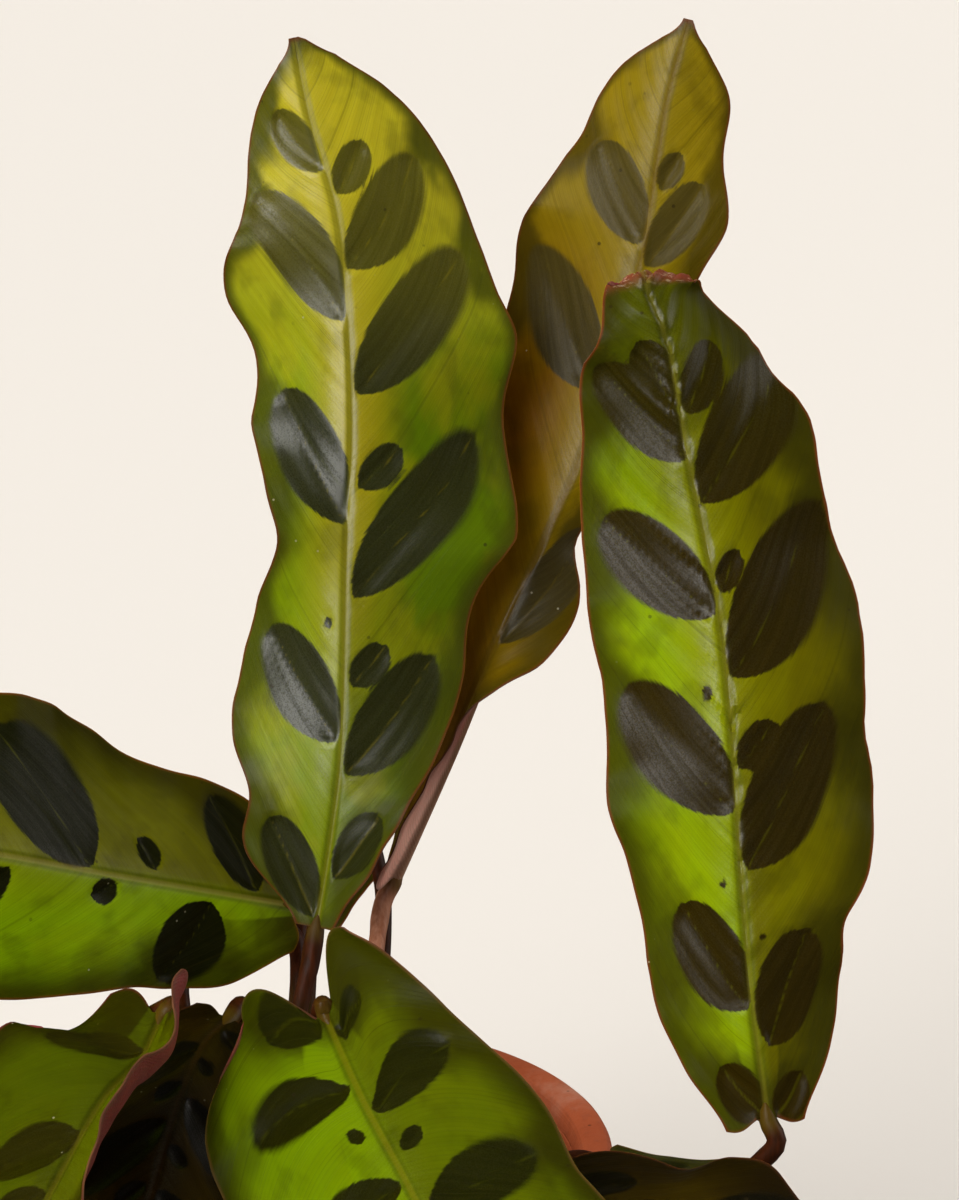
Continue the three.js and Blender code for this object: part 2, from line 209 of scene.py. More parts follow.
def finishMaterial(material, colour, rough, height=None, bumpSize=1.0, strength=1.0, others=None):
    # height is in millimetres times bumpSize
    tree = material.node_tree
    inputs = {"Base Color": colour, "Roughness": rough, **(others or {})}
    if height is not None:
        inputs["Normal"] = fedNode(tree, "ShaderNodeBump", {
            "Distance": bumpSize * mm, "Strength": strength, "Height": height}).outputs[0]
    shader = fedNode(tree, "ShaderNodeBsdfPrincipled", inputs)
    fedNode(tree, "ShaderNodeOutputMaterial", {0: shader.outputs[0]})
    return material


def newGroup(name, inputs, outputs):
    group = bpy.data.node_groups.new(name, "ShaderNodeTree")
    for label, kind, value in inputs:
        socket = group.interface.new_socket(label, in_out="INPUT", socket_type=kind)
        socket.default_value = value
    for label, kind in outputs:
        group.interface.new_socket(label, in_out="OUTPUT", socket_type=kind)
    return group, addNode(group, "NodeGroupInput").outputs, addNode(group, "NodeGroupOutput").inputs


colourSocket = "NodeSocketColor"
numberSocket = "NodeSocketFloat"


# dust: pale and dark specks that lie on the leaves, the stalks and the pot

dust = {"paleScale": 200, "darkScale": 160, "pale": (196, 190, 160), "dark": (42, 34, 12)}


def makeSpecks():
    group, given, out = newGroup("specks", [
        ("Colour", colourSocket, (0.5, 0.5, 0.5, 1)),
        ("Pale", numberSocket, 0.5),
        ("Dark", numberSocket, 0.5),
    ], [("Colour", colourSocket), ("Mask", numberSocket)])
    place = objectPlace(group)
    patches = noise(group, place, 14, 1)
    paleSpots = ramp(group, cells(group, place, dust["paleScale"]), 0.03, 0.055, 1, 0)
    darkSpots = ramp(group, cells(group, place, dust["darkScale"]), 0.04, 0.075, 1, 0)
    paleHere = times(group, paleSpots, ramp(group, patches, 0.48, 0.62))
    darkHere = times(group, darkSpots, ramp(group, patches, 0.6, 0.45))
    pale = times(group, paleHere, given["Pale"])
    dark = times(group, darkHere, given["Dark"])
    colour = layered(group, given["Colour"], (pale, paint(*dust["pale"])), (dark, paint(*dust["dark"])))
    group.links.new(colour, out["Colour"])
    group.links.new(maths(group, "MAXIMUM", pale, dark), out["Mask"])
    return group


specks = makeSpecks()


def dusted(tree, colour, pale, dark):
    values = {"Colour": colour, "Pale": pale, "Dark": dark}
    return fedNode(tree, "ShaderNodeGroup", values, node_tree=specks).outputs


# the upper face of a leaf

leafPattern = {
    # in mm, off the rib or along the blade
    "fineVein": 0.9,            # between the fine side veins
    "halves": 2.5,              # over which one half's colour turns into the other's
    "nearRib": 13,              # how far the paler strip beside the rib reaches
    "nearRibAlong": (20, 95),   # where it grows
    "tipAlong": (95, 150),      # where the tip's colour grows
    "marginAlong": (10, 130),   # where the dark margin narrows towards the tip
    "marginLeast": 1.2,
    "marginWander": 4.0,        # how much wider and narrower it gets
    "marginJoins": 3.4,         # how far it reaches further in beside a marking
    "bend": 3.5,                # over which the blush begins
    "wobble": 0.32,             # how far the outline of a marking wanders
    "soften": (7, 24),          # where that outline gets softer
    "midVein": (0.05, 0.4),     # the pale vein in the middle of a marking
    "rib": (0.25, 0.8),
    "rim": (0.1, 0.75),
    "shinyStrip": (1.5, 6),     # beside the rib
    "shineAlong": (10, 45),     # where the shine grows from the foot of the blade
    "stripShine": 1.8,          # times the shine of the markings
    "mostShine": 0.9,
}
leafPaints = ("Left", "Right", "Tip", "Near rib", "Margin", "Marking", "Rib", "Rim")


def fineBeat(tree, vein):
    return maths(tree, "SINE", times(tree, vein, 2 * math.pi / leafPattern["fineVein"]))


def makeLeafPattern():
    group, given, out = newGroup(
        "leafPattern",
        [(label, colourSocket, (0.2, 0.2, 0.02, 1)) for label in leafPaints] + [
            ("Margin width", numberSocket, 5.0),
            ("Blush from", numberSocket, 999.0),
            ("Shine", numberSocket, 0.8),
            ("Field shine", numberSocket, 0.05),
            ("Right shine", numberSocket, 1.0)],
        [("Colour", colourSocket), ("Roughness", numberSocket),
         ("Coat", numberSocket), ("Height", numberSocket)])
    place, (lengthwise, across, toEdge) = attributeParts(group, "leafPlace")
    inside, fromMiddle, vein = attributeParts(group, "leafMarks")[1]
    offRib = maths(group, "ABSOLUTE", across)

    # long streaks that follow the side veins
    lane = fedNode(group, "ShaderNodeCombineXYZ", {0: vein, 1: across}).outputs[0]
    streaks = noise(group, stretched(group, lane, (0.55, 0.05, 1)), 1, 4, 0.6)
    clouds = noise(group, place, 0.06, 3)
    shades = noise(group, place, 0.11, 3)
    grain = noise(group, place, 3.2, 2)

    # the two halves take their own colours: partly the leaf's own tone, partly painted light and shade,
    # lighter on the half that faces the light and darker on the one turned away
    side = ramp(group, across, -leafPattern["halves"], leafPattern["halves"])
    byRib = times(group, ramp(group, offRib, 1, leafPattern["nearRib"], 0.8, 0),
                  ramp(group, lengthwise, *leafPattern["nearRibAlong"], 0.15, 1))
    patches = ramp(group, clouds, 0.4, 0.66, 0, 0.3)
    # towards the tip the field turns to the Tip colour, whose pale yellow on the sunny leaf is partly
    # painted light shining through the blade
    atTip = ramp(group, lengthwise, *leafPattern["tipAlong"], 0, 0.85)
    field = layered(
        group, given["Left"],
        (side, given["Right"]),
        (maths(group, "MAXIMUM", byRib, patches), given["Near rib"]),
        (atTip, given["Tip"]),
        (ramp(group, shades, 0.5, 0.7, 0, 0.3), given["Margin"]))
    field = blendColours(group, 1.0, field, ramp(group, streaks, 0.25, 0.75, 0.93, 1.06), "MULTIPLY")

    # the dark margin, whose inner side fades and wanders, and reaches further in beside the markings
    wander = maths(group, "MULTIPLY_ADD", noise(group, place, 0.09, 2), 2 * leafPattern["marginWander"],
                   -leafPattern["marginWander"])
    marginIn = times(group, maths(group, "ADD", given["Margin width"], wander),
                     ramp(group, lengthwise, *leafPattern["marginAlong"], 1.4, 0.75))
    marginIn = maths(group, "MAXIMUM", marginIn, leafPattern["marginLeast"])
    marginOut = times(group, marginIn, 0.1)
    fromEdge = maths(group, "SUBTRACT", toEdge, ramp(group, inside, -7, 0, 0, leafPattern["marginJoins"]))

    # a pink blush where a leaf is bent over, with pale scratches
    scratches = noise(group, stretched(group, place, (1.6, 0.35, 0.35)), 1, 3, 0.7)
    blush = blendColours(group, ramp(group, scratches, 0.55, 0.66),
                         paint(128, 60, 44), paint(196, 160, 136))
    past = maths(group, "SUBTRACT", lengthwise, given["Blush from"])
    field = layered(
        group, field,
        (ramp(group, fromEdge, marginOut, marginIn, 0.88, 0), given["Margin"]),
        (ramp(group, past, 0, leafPattern["bend"], 0, 0.85), blush))

    # the markings, whose outline steps from vein to vein, crisp by the rib and soft towards the margin
    wobble = maths(group, "MULTIPLY_ADD", noiseAlong(group, vein, 1.1, 2), 2.4 * leafPattern["wobble"],
                   -1.2 * leafPattern["wobble"])
    wobble = maths(group, "MULTIPLY_ADD", grain, 0.3, wobble)
    blur = ramp(group, offRib, *leafPattern["soften"], 0.35, 1.5)
    marked = ramp(group, maths(group, "DIVIDE", maths(group, "ADD", inside, wobble), blur), -0.6, 1.2)
    # near the tip the markings turn a little towards the Tip colour: painted light, where they are lit
    # through from behind
    marking = blendColours(group, times(group, atTip, 0.2), given["Marking"], given["Tip"])
    marking = blendColours(group, 1.0, marking, ramp(group, streaks, 0.2, 0.8, 0.82, 1.2), "MULTIPLY")
    paleMiddle = times(group, ramp(group, fromMiddle, *leafPattern["midVein"], 0.16, 0),
                       ramp(group, inside, 0.2, 1.2))
    marking = blendColours(group, paleMiddle, marking, given["Near rib"])

    # fine side veins with a stronger one here and there, the rib, and the thin brown line of the rim
    beat = fineBeat(group, vein)
    offStrong = maths(group, "ABSOLUTE", maths(group, "SUBTRACT", noiseAlong(group, vein, 0.42, 0), 0.5))
    thinLine = ramp(group, offStrong, 0.0, 0.012, 0.32, 0)
    ribSide = times(group, ramp(group, offRib, 0.8, 1.5, 1, 0), ramp(group, offRib, 0.3, 0.8))
    colour = layered(
        group, field,
        (marked, marking),
        (thinLine, given["Margin"]),
        (ramp(group, beat, 0.3, 1, 0, 0.08), given["Margin"]),
        (ramp(group, offRib, *leafPattern["rib"], 0.6, 0), given["Rib"]),
        (times(group, ribSide, 0.35), given["Margin"]),
        (ramp(group, toEdge, *leafPattern["rim"], 0.9, 0), given["Rim"]))
    specked = dusted(group, colour, 0.55, 0.7)
    group.links.new(specked["Colour"], out["Colour"])
    rough = ramp(group, grain, 0.25, 0.75, 0.34, 0.44)
    group.links.new(maths(group, "MULTIPLY_ADD", specked["Mask"], 0.3, rough), out["Roughness"])

    # the markings and the strip beside the rib shine more than the field, and the skin's grain breaks it
    more = maths(group, "SUBTRACT", given["Shine"], given["Field shine"])
    strip = ramp(group, offRib, *leafPattern["shinyStrip"], leafPattern["stripShine"], 0)
    shiny = maths(group, "MULTIPLY_ADD", maths(group, "MAXIMUM", marked, strip), more, given["Field shine"])
    lessRight = maths(group, "SUBTRACT", given["Right shine"], 1.0)
    byHalf = maths(group, "MULTIPLY_ADD", side, lessRight, 1.0)
    byPlace = times(group, byHalf, ramp(group, lengthwise, *leafPattern["shineAlong"], 0.25, 1))
    skin = noise(group, objectPlace(group), 3400, 2, 0.6)
    broken = times(group, ramp(group, skin, 0.36, 0.6, 0.45, 1.1),
                   ramp(group, streaks, 0.3, 0.6, 0.5, 1.1))
    coat = times(group, shiny, times(group, byPlace, broken))
    group.links.new(maths(group, "MINIMUM", coat, leafPattern["mostShine"]), out["Coat"])

    # relief in millimetres
    swells = noise(group, stretched(group, lane, (0.4, 0.06, 1)), 1, 1)
    relief = times(group, beat, 0.003)
    for height, size in ((swells, 0.07), (skin, 0.009), (thinLine, -0.06)):
        relief = maths(group, "MULTIPLY_ADD", height, size, relief)
    group.links.new(relief, out["Height"])
    return group


leafGroup = makeLeafPattern()

# the upper faces: colours as the screen shows them, in the order of leafPaints, and how much they shine
# Left and Right are partly painted light and shade: the half that faces the light is painted lighter
tones = {
    "sunny": {"paints": [(120, 142, 1), (86, 110, 0), (192, 180, 34), (166, 150, 14), (62, 66, 8),
                         (40, 42, 12), (118, 112, 22), (96, 50, 20)], "Margin width": 4.8,
              "Shine": 1.0, "Field shine": 0.22, "Right shine": 0.55, "gloss": 0.1},
    # painted light: the orange-brown of the lower blade stands in for light that shines through it from
    # behind, in the shade of the leaf in front
    "olive": {"paints": [(116, 78, 0), (106, 82, 1), (140, 122, 12), (128, 108, 3), (72, 60, 6),
                         (60, 52, 24), (98, 76, 10), (96, 52, 22)], "Margin width": 4.0,
              "Shine": 0.24, "Field shine": 0.05, "Right shine": 0.5, "gloss": 0.05},
    "green": {"paints": [(134, 160, 1), (100, 95, 0), (60, 64, 0), (134, 136, 1), (52, 49, 4),
                         (44, 34, 2), (104, 98, 24), (110, 54, 24)], "Margin width": 8.5,
              "Blush from": 149.0, "Shine": 0.4, "Field shine": 0.05, "gloss": 0.04},
    "fresh": {"paints": [(142, 180, 1), (100, 100, 0), (120, 140, 2), (136, 138, 2), (50, 46, 2),
                         (24, 26, 4), (140, 128, 54), (110, 66, 24)], "Margin width": 8.5,
              "Shine": 0.2, "Field shine": 0.05, "gloss": 0.05},
    "deep": {"paints": [(88, 102, 0), (112, 140, 0), (94, 110, 0), (100, 104, 0), (44, 42, 0),
                        (32, 33, 0), (110, 104, 8), (88, 66, 30)], "Margin width": 6.0,
             "Shine": 0.45, "Field shine": 0.1, "gloss": 0.12},
    "shady": {"paints": [(82, 92, 0), (76, 88, 0), (74, 78, 0), (84, 82, 0), (40, 34, 0),
                         (42, 39, 0), (92, 84, 10), (104, 40, 34)], "Margin width": 6.0,
              "Shine": 0.35, "Field shine": 0.05, "gloss": 0.1},
    # painted shade: dark brown upper faces for the leaves that lie in the shade of those above
    "inShade": {"paints": [(50, 38, 1), (46, 33, 1), (40, 32, 1), (50, 38, 2), (26, 17, 1),
                          (16, 13, 1), (56, 36, 8), (60, 34, 18)], "Margin width": 6.0,
               "Shine": 0.4, "Field shine": 0.1, "gloss": 0.12},
}


def leafTop(name, tone):
    material, tree = newMaterial(name)
    values = {label: paint(*colour) for label, colour in zip(leafPaints, tone["paints"])}
    values.update({label: tone[label] for label in tone if label not in ("paints", "gloss")})
    pattern = fedNode(tree, "ShaderNodeGroup", values, node_tree=leafGroup).outputs
    return finishMaterial(
        material, pattern["Colour"], pattern["Roughness"], pattern["Height"], strength=0.9, others={
            "Coat Weight": pattern["Coat"], "Coat Roughness": 0.3,
            "Specular IOR Level": tone["gloss"],
            "Subsurface Weight": 0.55, "Subsurface Radius": (1.0, 0.75, 0.2), "Subsurface Scale": 0.9 * mm})


# the underside: wine red, paler at the foot of the blade, with raised veins

underPaints = {"light": (130, 36, 38), "dark": (100, 28, 30), "foot": (146, 56, 52)}
# a paler copy for the leaf whose underside turns to the light: rosy partly of its own, partly painted
# light, palest at the foot
rosyLitUnderPaints = {"light": (146, 84, 66), "dark": (120, 66, 52), "foot": (244, 190, 170)}


def leafUnder(name, paints):
    material, tree = newMaterial(name)
    place, (lengthwise, across, toEdge) = attributeParts(tree, "leafPlace")
    inside, _, vein = attributeParts(tree, "leafMarks")[1]
    offRib = maths(tree, "ABSOLUTE", across)
    clouds = noise(tree, place, 0.12, 4, 0.6)
    beat = fineBeat(tree, vein)
    # the markings show through a little
    colour = layered(
        tree, paint(*paints["light"]),
        (ramp(tree, clouds, 0.3, 0.7), paint(*paints["dark"])),
        (ramp(tree, lengthwise, 8, 34, 0.9, 0), paint(*paints["foot"])),
        (ramp(tree, beat, 0.2, 1, 0, 0.12), paint(62, 32, 34)),
        (ramp(tree, inside, -0.4, 0.8, 0, 0.45), paint(58, 26, 32)),
        (ramp(tree, offRib, 0.8, 2.2, 0.8, 0), paint(126, 92, 58)),
        (ramp(tree, toEdge, 0.2, 1.2, 0.6, 0), paint(110, 70, 50)))
    skin = times(tree, noise(tree, place, 2.4, 2), 0.12)
    height = maths(tree, "MULTIPLY_ADD", beat, 0.015, skin)
    return finishMaterial(material, colour, ramp(tree, clouds, 0.2, 0.8, 0.5, 0.62), height, others={
        "Specular IOR Level": 0.35, "Sheen Weight": 0.05,
        "Subsurface Weight": 0.4, "Subsurface Radius": (1.0, 0.4, 0.3), "Subsurface Scale": 0.8 * mm})


def leafRim():
    material, tree = newMaterial("leafRim")
    patches = noise(tree, objectPlace(tree), 90, 3)
    colour = blendColours(tree, ramp(tree, patches, 0.35, 0.65), paint(120, 78, 44), paint(88, 50, 34))
    return finishMaterial(material, colour, ramp(tree, patches, 0.3, 0.7, 0.45, 0.6))


undersides = {"wine": leafUnder("leafUndersideWine", underPaints),
              "rosy": leafUnder("leafUndersideRosyLit", rosyLitUnderPaints)}
rimFinish = leafRim()


# the leaves
# foot, stalk, rib: places of the stalk and of the blade's rib. face: where the upper face looks.
# left and right, seen tip up: reach is the half's width, lift how far its margin is bent up, fold its
# bulge, lobe how far it is drawn back past the stalk. marks: (place along the rib, gap from the rib,
# length, width, degrees that it leans out from the rib). byRule: stretch where alternate ones are laid.
# edge: width and phase of a margin that rippled makes. ribGroove and crumple: how deep, times blade's
# groove and in mm. veinLean: degrees between side veins and rib.

leaves = {
    "tall_left": {
        "foot": (2, 2), "stalk": [(2, 0, 132)],
        "rib": [(6, 4, 153), (9, 8, 171), (11, 12, 189), (12, 20, 224), (13, 26, 246), (12, 32, 270),
                (10, 35, 287), (5, 38, 304), (2, 40, 319)],
        "face": [(0, -1, 0.2), (0, -1, 0.25), (0, -1, 0.25)],
        "left": {
            "reach": [4, 15.5, 16.5, 22, 21.5, 18, 12.5, 16, 20, 19, 23.5, 20, 15.5, 9.5, 0],
            "lift": [0, 2, -3, -5, 3, -3, -5, 1, -2, 0], "lobe": 0,
            "marks": [(146, 0.6, 14, 7.5, 27), (117, 1.0, 32, 12.5, 28), (78, 0.6, 30, 12.5, 31),
                      (58, 2.9, 2, 2, 34), (36, 1.2, 26, 13, 37), (2, 0.9, 21, 9.5, 34)],
        },
        "right": {
            "reach": [3, 7.5, 12, 18.5, 23, 24.5, 30.5, 32, 29.5, 31.5, 28.5, 25, 20.5, 14.5, 3],
            "lift": [2, 6, 1, -3, 2, -4, 1, -4, -1, 0], "lobe": 0,
            "marks": [(141, 1.0, 11, 7, 47), (127, 0.5, 24, 12, 49), (103, 1.0, 34, 14, 43),
                      (85, 1.7, 11, 7, 47), (64, 1.6, 39, 14, 38), (47, 1.5, 10, 7, 44),
                      (30, 1.3, 28, 12.5, 38), (10, 2, 15, 8, 29)],
        },
        "tone": "sunny", "veinLean": 38, "fine": True,
    },
    "tall_middle": {
        "foot": (9, 7), "stalk": [(16, 8, 138)],
        "rib": [(20, 18, 158), (30.5, 25, 180), (39.5, 31, 200), (49, 36, 219), (57.5, 41, 238),
                (63, 45, 256), (69, 49, 275), (72, 52, 294), (74, 54, 306), (78, 57, 321)],
        "face": [(-0.9, 0.2, 0.3), (-0.6, -0.7, 0.2), (-0.25, -0.95, 0.2), (-0.15, -0.95, 0.2),
                 (-0.1, -0.95, 0.25)],
        "left": {
            "reach": [5, 10, 13, 15, 17, 19, 21, 22, 23, 24, 25.5, 22, 16, 11, 0],
            "lift": [2, 5, 6, 2, -1, 1, -3, 1, -2, 0], "lobe": 4,
            "marks": [(134, 0.8, 22, 11, 34), (104, 1.5, 31, 14, 44)],
        },
        "right": {
            "reach": [4, 5, 4, 3, 10, 11, 5, 8, 15, 16, 11, 14.5, 12, 11, 1],
            "lift": [2, 4, 2, -3, -4, 0, -3, 1, -1, 0], "lobe": 3,
            "marks": [(145, 1.5, 8, 5, 22), (130, 1.2, 19, 9, 28), (90, 1.4, 18, 7, 26),
                      (51, 1.0, 28, 10, 17)],
        },
        "tone": "olive", "veinLean": 36, "fine": True, "under": "rosy", "stalkTone": "rosy",
        "ribGroove": 0.35,
    },
    "tall_right": {
        "foot": (13, -8), "stalk": [(38, -27, 118), (60, -40, 119), (76, -48, 121)],
        "rib": [(88.5, -52, 138), (85.5, -49, 159), (83.5, -45, 180), (82, -40, 203), (80, -34, 223),
                (77, -29, 239), (74, -25, 253), (71, -21, 270), (67.5, -18, 279.5), (66.5, -14, 283),
                (65.5, -9, 279), (65, -6, 270)],
        "face": [(0, -1, 0.2), (0, -1, 0.2), (0, -0.4, 1)],
        "left": {
            "reach": [7.5, 13.5, 17.5, 18.5, 20, 22.5, 22.5, 22.5, 23, 22, 20.5, 17.5, 15.5, 8.5, 4, 0],
            "lift": [0, -3, -5, -1, -5, -3, -5, -3, -1, 0], "lobe": 2,
            "marks": [(127, 1.0, 14, 8, 20), (118, 0.3, 23, 11, 37), (90, 1.0, 27, 13.5, 41),
                      (75, 3.9, 3, 2, 0), (55, 0.8, 30, 15, 40), (42, 3.3, 1.6, 1.5, 0),
                      (20, 1.0, 22, 12, 31), (0, 0.5, 13, 7, 33)],
        },
        "right": {
            "reach": [6.5, 14, 17.5, 18, 23.5, 26.5, 25, 25.5, 26.5, 23.5, 22.5, 23.5, 17.5, 10, 6, 0],
            "lift": [0, -5, 1, -6, -3, -6, 0, -5, -1, 0], "lobe": 1.5,
            "marks": [(126, 1.0, 14, 8, 38), (110, 0.8, 32, 15, 45), (94, 0.9, 8, 5, 37),
                      (79, 0.9, 34, 16, 42), (63, 0.9, 10, 7, 47), (45, 1.4, 32, 15, 34),
                      (32, 3, 1.6, 1.5, 0), (13, 2.4, 22, 12, 26), (0, 1.6, 10, 6, 40)],
        },
        "tone": "green", "veinLean": 38, "fine": True, "crumple": 0.6, "ribGroove": 1.5,
    },
    "side_left": {
        "foot": (1, 8), "stalk": [(3, 11, 128), (4, 15, 142)],
        "rib": [(1, 16, 153), (-15.5, 4, 160.5), (-33, -10, 169), (-50, -25, 178), (-70, -38, 186),
                (-92, -48, 188), (-112, -54, 181), (-126, -57, 168)],
        "face": [(-0.1, -0.9, 0.4), (0, -0.9, 0.45), (-0.35, -0.7, 0.6)],
        "left": {
            "reach": [9, 17, 19.5, 20, 22.5, 25.5, 26.5, 26, 27, 25, 23, 20, 15, 8, 0],
            "lift": [0, -2, 1, -3, -4, 1, -3, 1, 0], "lobe": 3,
            "marks": [(67, 2.2, 13, 7, 51), (42, 1.5, 6, 5, 35), (19, 2.2, 18, 15, 66)],
            "byRule": (88, 146),
        },
        "right": {
            "reach": [7, 18, 21.5, 23.5, 28.5, 31, 31.5, 30, 31, 29, 26, 22, 17, 10, 0],
            "lift": [0, 0, -4, -2, -5, 0, -4, 0, 0], "lobe": 1,
            "marks": [(48.5, 1.0, 32.5, 20.5, 50), (33, 2.4, 7, 5, 60), (9, 1.6, 21, 11, 56)],
            "byRule": (76, 146),
        },
        "tone": "fresh", "veinLean": 42, "fine": True,
    },
    "low_front": {
        "foot": (4, -9), "stalk": [(6, -24, 136)], "lead": 2,
        "rib": [(9.5, -40, 153), (17, -58, 144), (26.5, -79, 135), (36, -98, 122), (43, -113, 105),
                (48, -124, 86), (50, -131, 67), (51, -135, 50)],
        "face": [(0, -1, 0.3), (0, -1, 0.35), (0, -1, 0.2)],
        "left": {
            "reach": [9, 16.5, 22.5, 27, 27.5, 31, 31, 28, 24.5, 21, 16, 9, 0],
            "lift": [6, 2, -3, -5, -1, -4, 1, -1, 0], "lobe": 13.5,
            "marks": [(4, 0.4, 9, 4, 52), (24, 0.7, 17, 10, 89), (35, 1.8, 5, 4, 98),
                      (49, 1.7, 21, 11, 101)], "byRule": (68, 140),
        },
        "right": {
            "reach": [15.5, 27, 30, 32, 31, 31, 30, 28, 25, 21, 15, 9, 0],
            "lift": [-1, 1, -3, -6, 0, -3, 1, -1, 0], "lobe": 15,
            "marks": [(0, 1.6, 13, 8, 51), (17, 1, 21, 9, 76), (26, 4.1, 4, 3, 0),
                      (42, 0.9, 17, 9, 100)], "byRule": (64, 140),
        },
        "tone": "deep", "veinLean": 66, "fine": True,
    },
    "low_front_left": {
        "foot": (-21, 4), "stalk": [(-31, -14, 122), (-38, -31, 138)], "lead": 2,
        "rib": [(-19.5, -41, 153.5), (-22.5, -51, 149), (-27.5, -61, 146.5), (-31.5, -70, 142),
                (-38, -88, 133), (-46, -106, 119), (-53, -120, 101), (-58, -129, 81), (-61, -134, 62)],
        "face": [(-0.2, -0.9, 0.4), (-0.2, -0.9, 0.4), (-0.1, -0.9, 0.4)],
        "left": {
            "reach": [1.5, 2.5, 3.5, 4, 6, 9, 12, 14, 14, 12, 9, 5, 0],
            "lift": [7, 11, 11, 8, 4, 3, 2, 0, 0],
            "fold": [1.5, 2, 2, 1, 0, 0, 0, 0, 0], "lobe": 6,
            "marks": [], "byRule": (50, 130),
        },
        "right": {
            "reach": [12, 20.5, 26.5, 28, 28, 27.5, 27, 26, 24, 21, 16, 9, 0],
            "lift": [-1, -1, -2, -4, 0, -3, 1, -1, 0], "lobe": 6,
            "marks": [(9, 0.3, 20, 8, 63), (32, 0.5, 17, 10, 51), (46, 0.7, 9, 6, 60)], "byRule": (62, 130),
        },
        "tone": "shady", "veinLean": 55, "fine": True,
    },
    "shaded_left": {
        "foot": (-10, 3), "stalk": [(-8, -1, 126)],
        "rib": [(-10, -10, 140), (-14, -20, 139), (-17, -33, 135), (-20, -49, 127), (-24, -67, 115),
                (-28, -81, 99), (-31, -91, 79)],
        "face": [(0, -0.7, 0.7), (0, -0.8, 0.6), (0, -0.9, 0.3)],
        "edge": (16, 1.1), "tone": "inShade", "fine": True,
    },
    "shaded_right": {
        "foot": (10, -15), "stalk": [(24, -36, 118), (38, -50, 122)],
        "rib": [(48, -62, 126.5), (58, -68, 128.5), (68, -74, 127), (82, -80, 122), (96, -85, 111),
                (108, -88, 97), (116, -90, 80)],
        "face": [(-0.1, -0.6, 0.8), (0.1, -0.7, 0.7), (0.4, -0.7, 0.5)],
        "edge": (19, 2.9), "tone": "inShade", "fine": True,
    },
    "far_left": {
        "foot": (-5, 12), "stalk": [(0, 24, 122), (1, 28, 134)],
        "rib": [(-6, 34, 142), (-22, 43, 143), (-42, 51, 147.5), (-62, 58, 157.5), (-83, 61, 171),
                (-103, 60, 180), (-122, 57, 184)],
        "face": [(0, -0.8, 0.6), (0, -0.9, 0.45), (-0.2, -0.85, 0.5)],
        "edge": (19, 0.4), "tone": "olive",
    },
    "back_upright": {
        "foot": (8, 15), "stalk": [(16, 28, 124), (18, 36, 146)],
        "rib": [(15, 42, 163), (13, 48, 182), (14, 58, 206), (18, 72, 232), (20, 88, 255)],
        "face": [(0, -1, 0.3), (0, -1, 0.4), (0, -1, 0.5)],
        "edge": (12, 4.2), "tone": "green",
    },
    "back_left": {
        "foot": (-14, 9), "stalk": [(-21, 26, 116)],
        "rib": [(-28, 46, 130), (-44, 68, 133), (-60, 90, 128), (-74, 108, 116), (-84, 120, 98)],
        "face": [(0, -0.2, 1), (-0.2, 0.2, 1), (-0.5, 0.5, 0.7)],
        "edge": (17, 5.3), "tone": "fresh",
    },
    "back": {
        "foot": (-1, 18), "stalk": [(0, 36, 122)],
        "rib": [(-1, 53, 137), (-5, 72, 141), (-9, 94, 138), (-13, 117, 127), (-16, 133, 108)],
        "face": [(0, -0.2, 1), (0, 0.2, 1), (0, 0.7, 0.7)],
        "edge": (19, 2.2), "tone": "green",
    },
    "low_right": {
        "foot": (17, -1), "stalk": [(36, -20, 112), (50, -24, 116)],
        "rib": [(62, -28, 118), (76, -34, 116), (94, -38, 104), (111, -38, 86), (124, -36, 65)],
        "face": [(0, -0.3, 1), (0.3, -0.3, 0.9), (0.7, -0.3, 0.6)],
        "edge": (18, 3.6), "tone": "deep",
    },
    "low_middle": {
        "foot": (-2, -16), "stalk": [(4, -47, 113)],
        "rib": [(7, -66, 115), (8, -84, 110), (9, -104, 96), (9, -120, 75), (9, -129, 52)],
        "face": [(0, -0.3, 1), (0, -0.6, 0.8), (0, -0.9, 0.4)],
        "edge": (18, 0.9), "tone": "deep",
    },
    "low_right_front": {
        "foot": (16, -17), "stalk": [(32, -48, 112)],
        "rib": [(44, -66, 112), (57, -84, 104), (70, -100, 90), (80, -113, 71), (86, -121, 50)],
        "face": [(0.2, -0.3, 1), (0.4, -0.5, 0.8), (0.6, -0.7, 0.4)],
        "edge": (17, 5.0), "tone": "fresh",
    },
    "low_left_front": {
        "foot": (-13, -12), "stalk": [(-38, -44, 113)],
        "rib": [(-50, -56, 114), (-66, -72, 108), (-83, -87, 95), (-97, -99, 76), (-105, -107, 55)],
        "face": [(-0.2, -0.3, 1), (-0.4, -0.5, 0.8), (-0.6, -0.7, 0.4)],
        "edge": (18, 1.7), "tone": "green",
    },
    "low_left": {
        "foot": (-16, -4), "stalk": [(-46, -16, 115)],
        "rib": [(-60, -22, 119), (-78, -28, 117), (-98, -32, 106), (-114, -34, 88), (-124, -35, 66)],
        "face": [(-0.2, -0.3, 1), (-0.3, -0.3, 0.9), (-0.7, -0.4, 0.6)],
        "edge": (19, 3.1), "tone": "deep",
    },
}

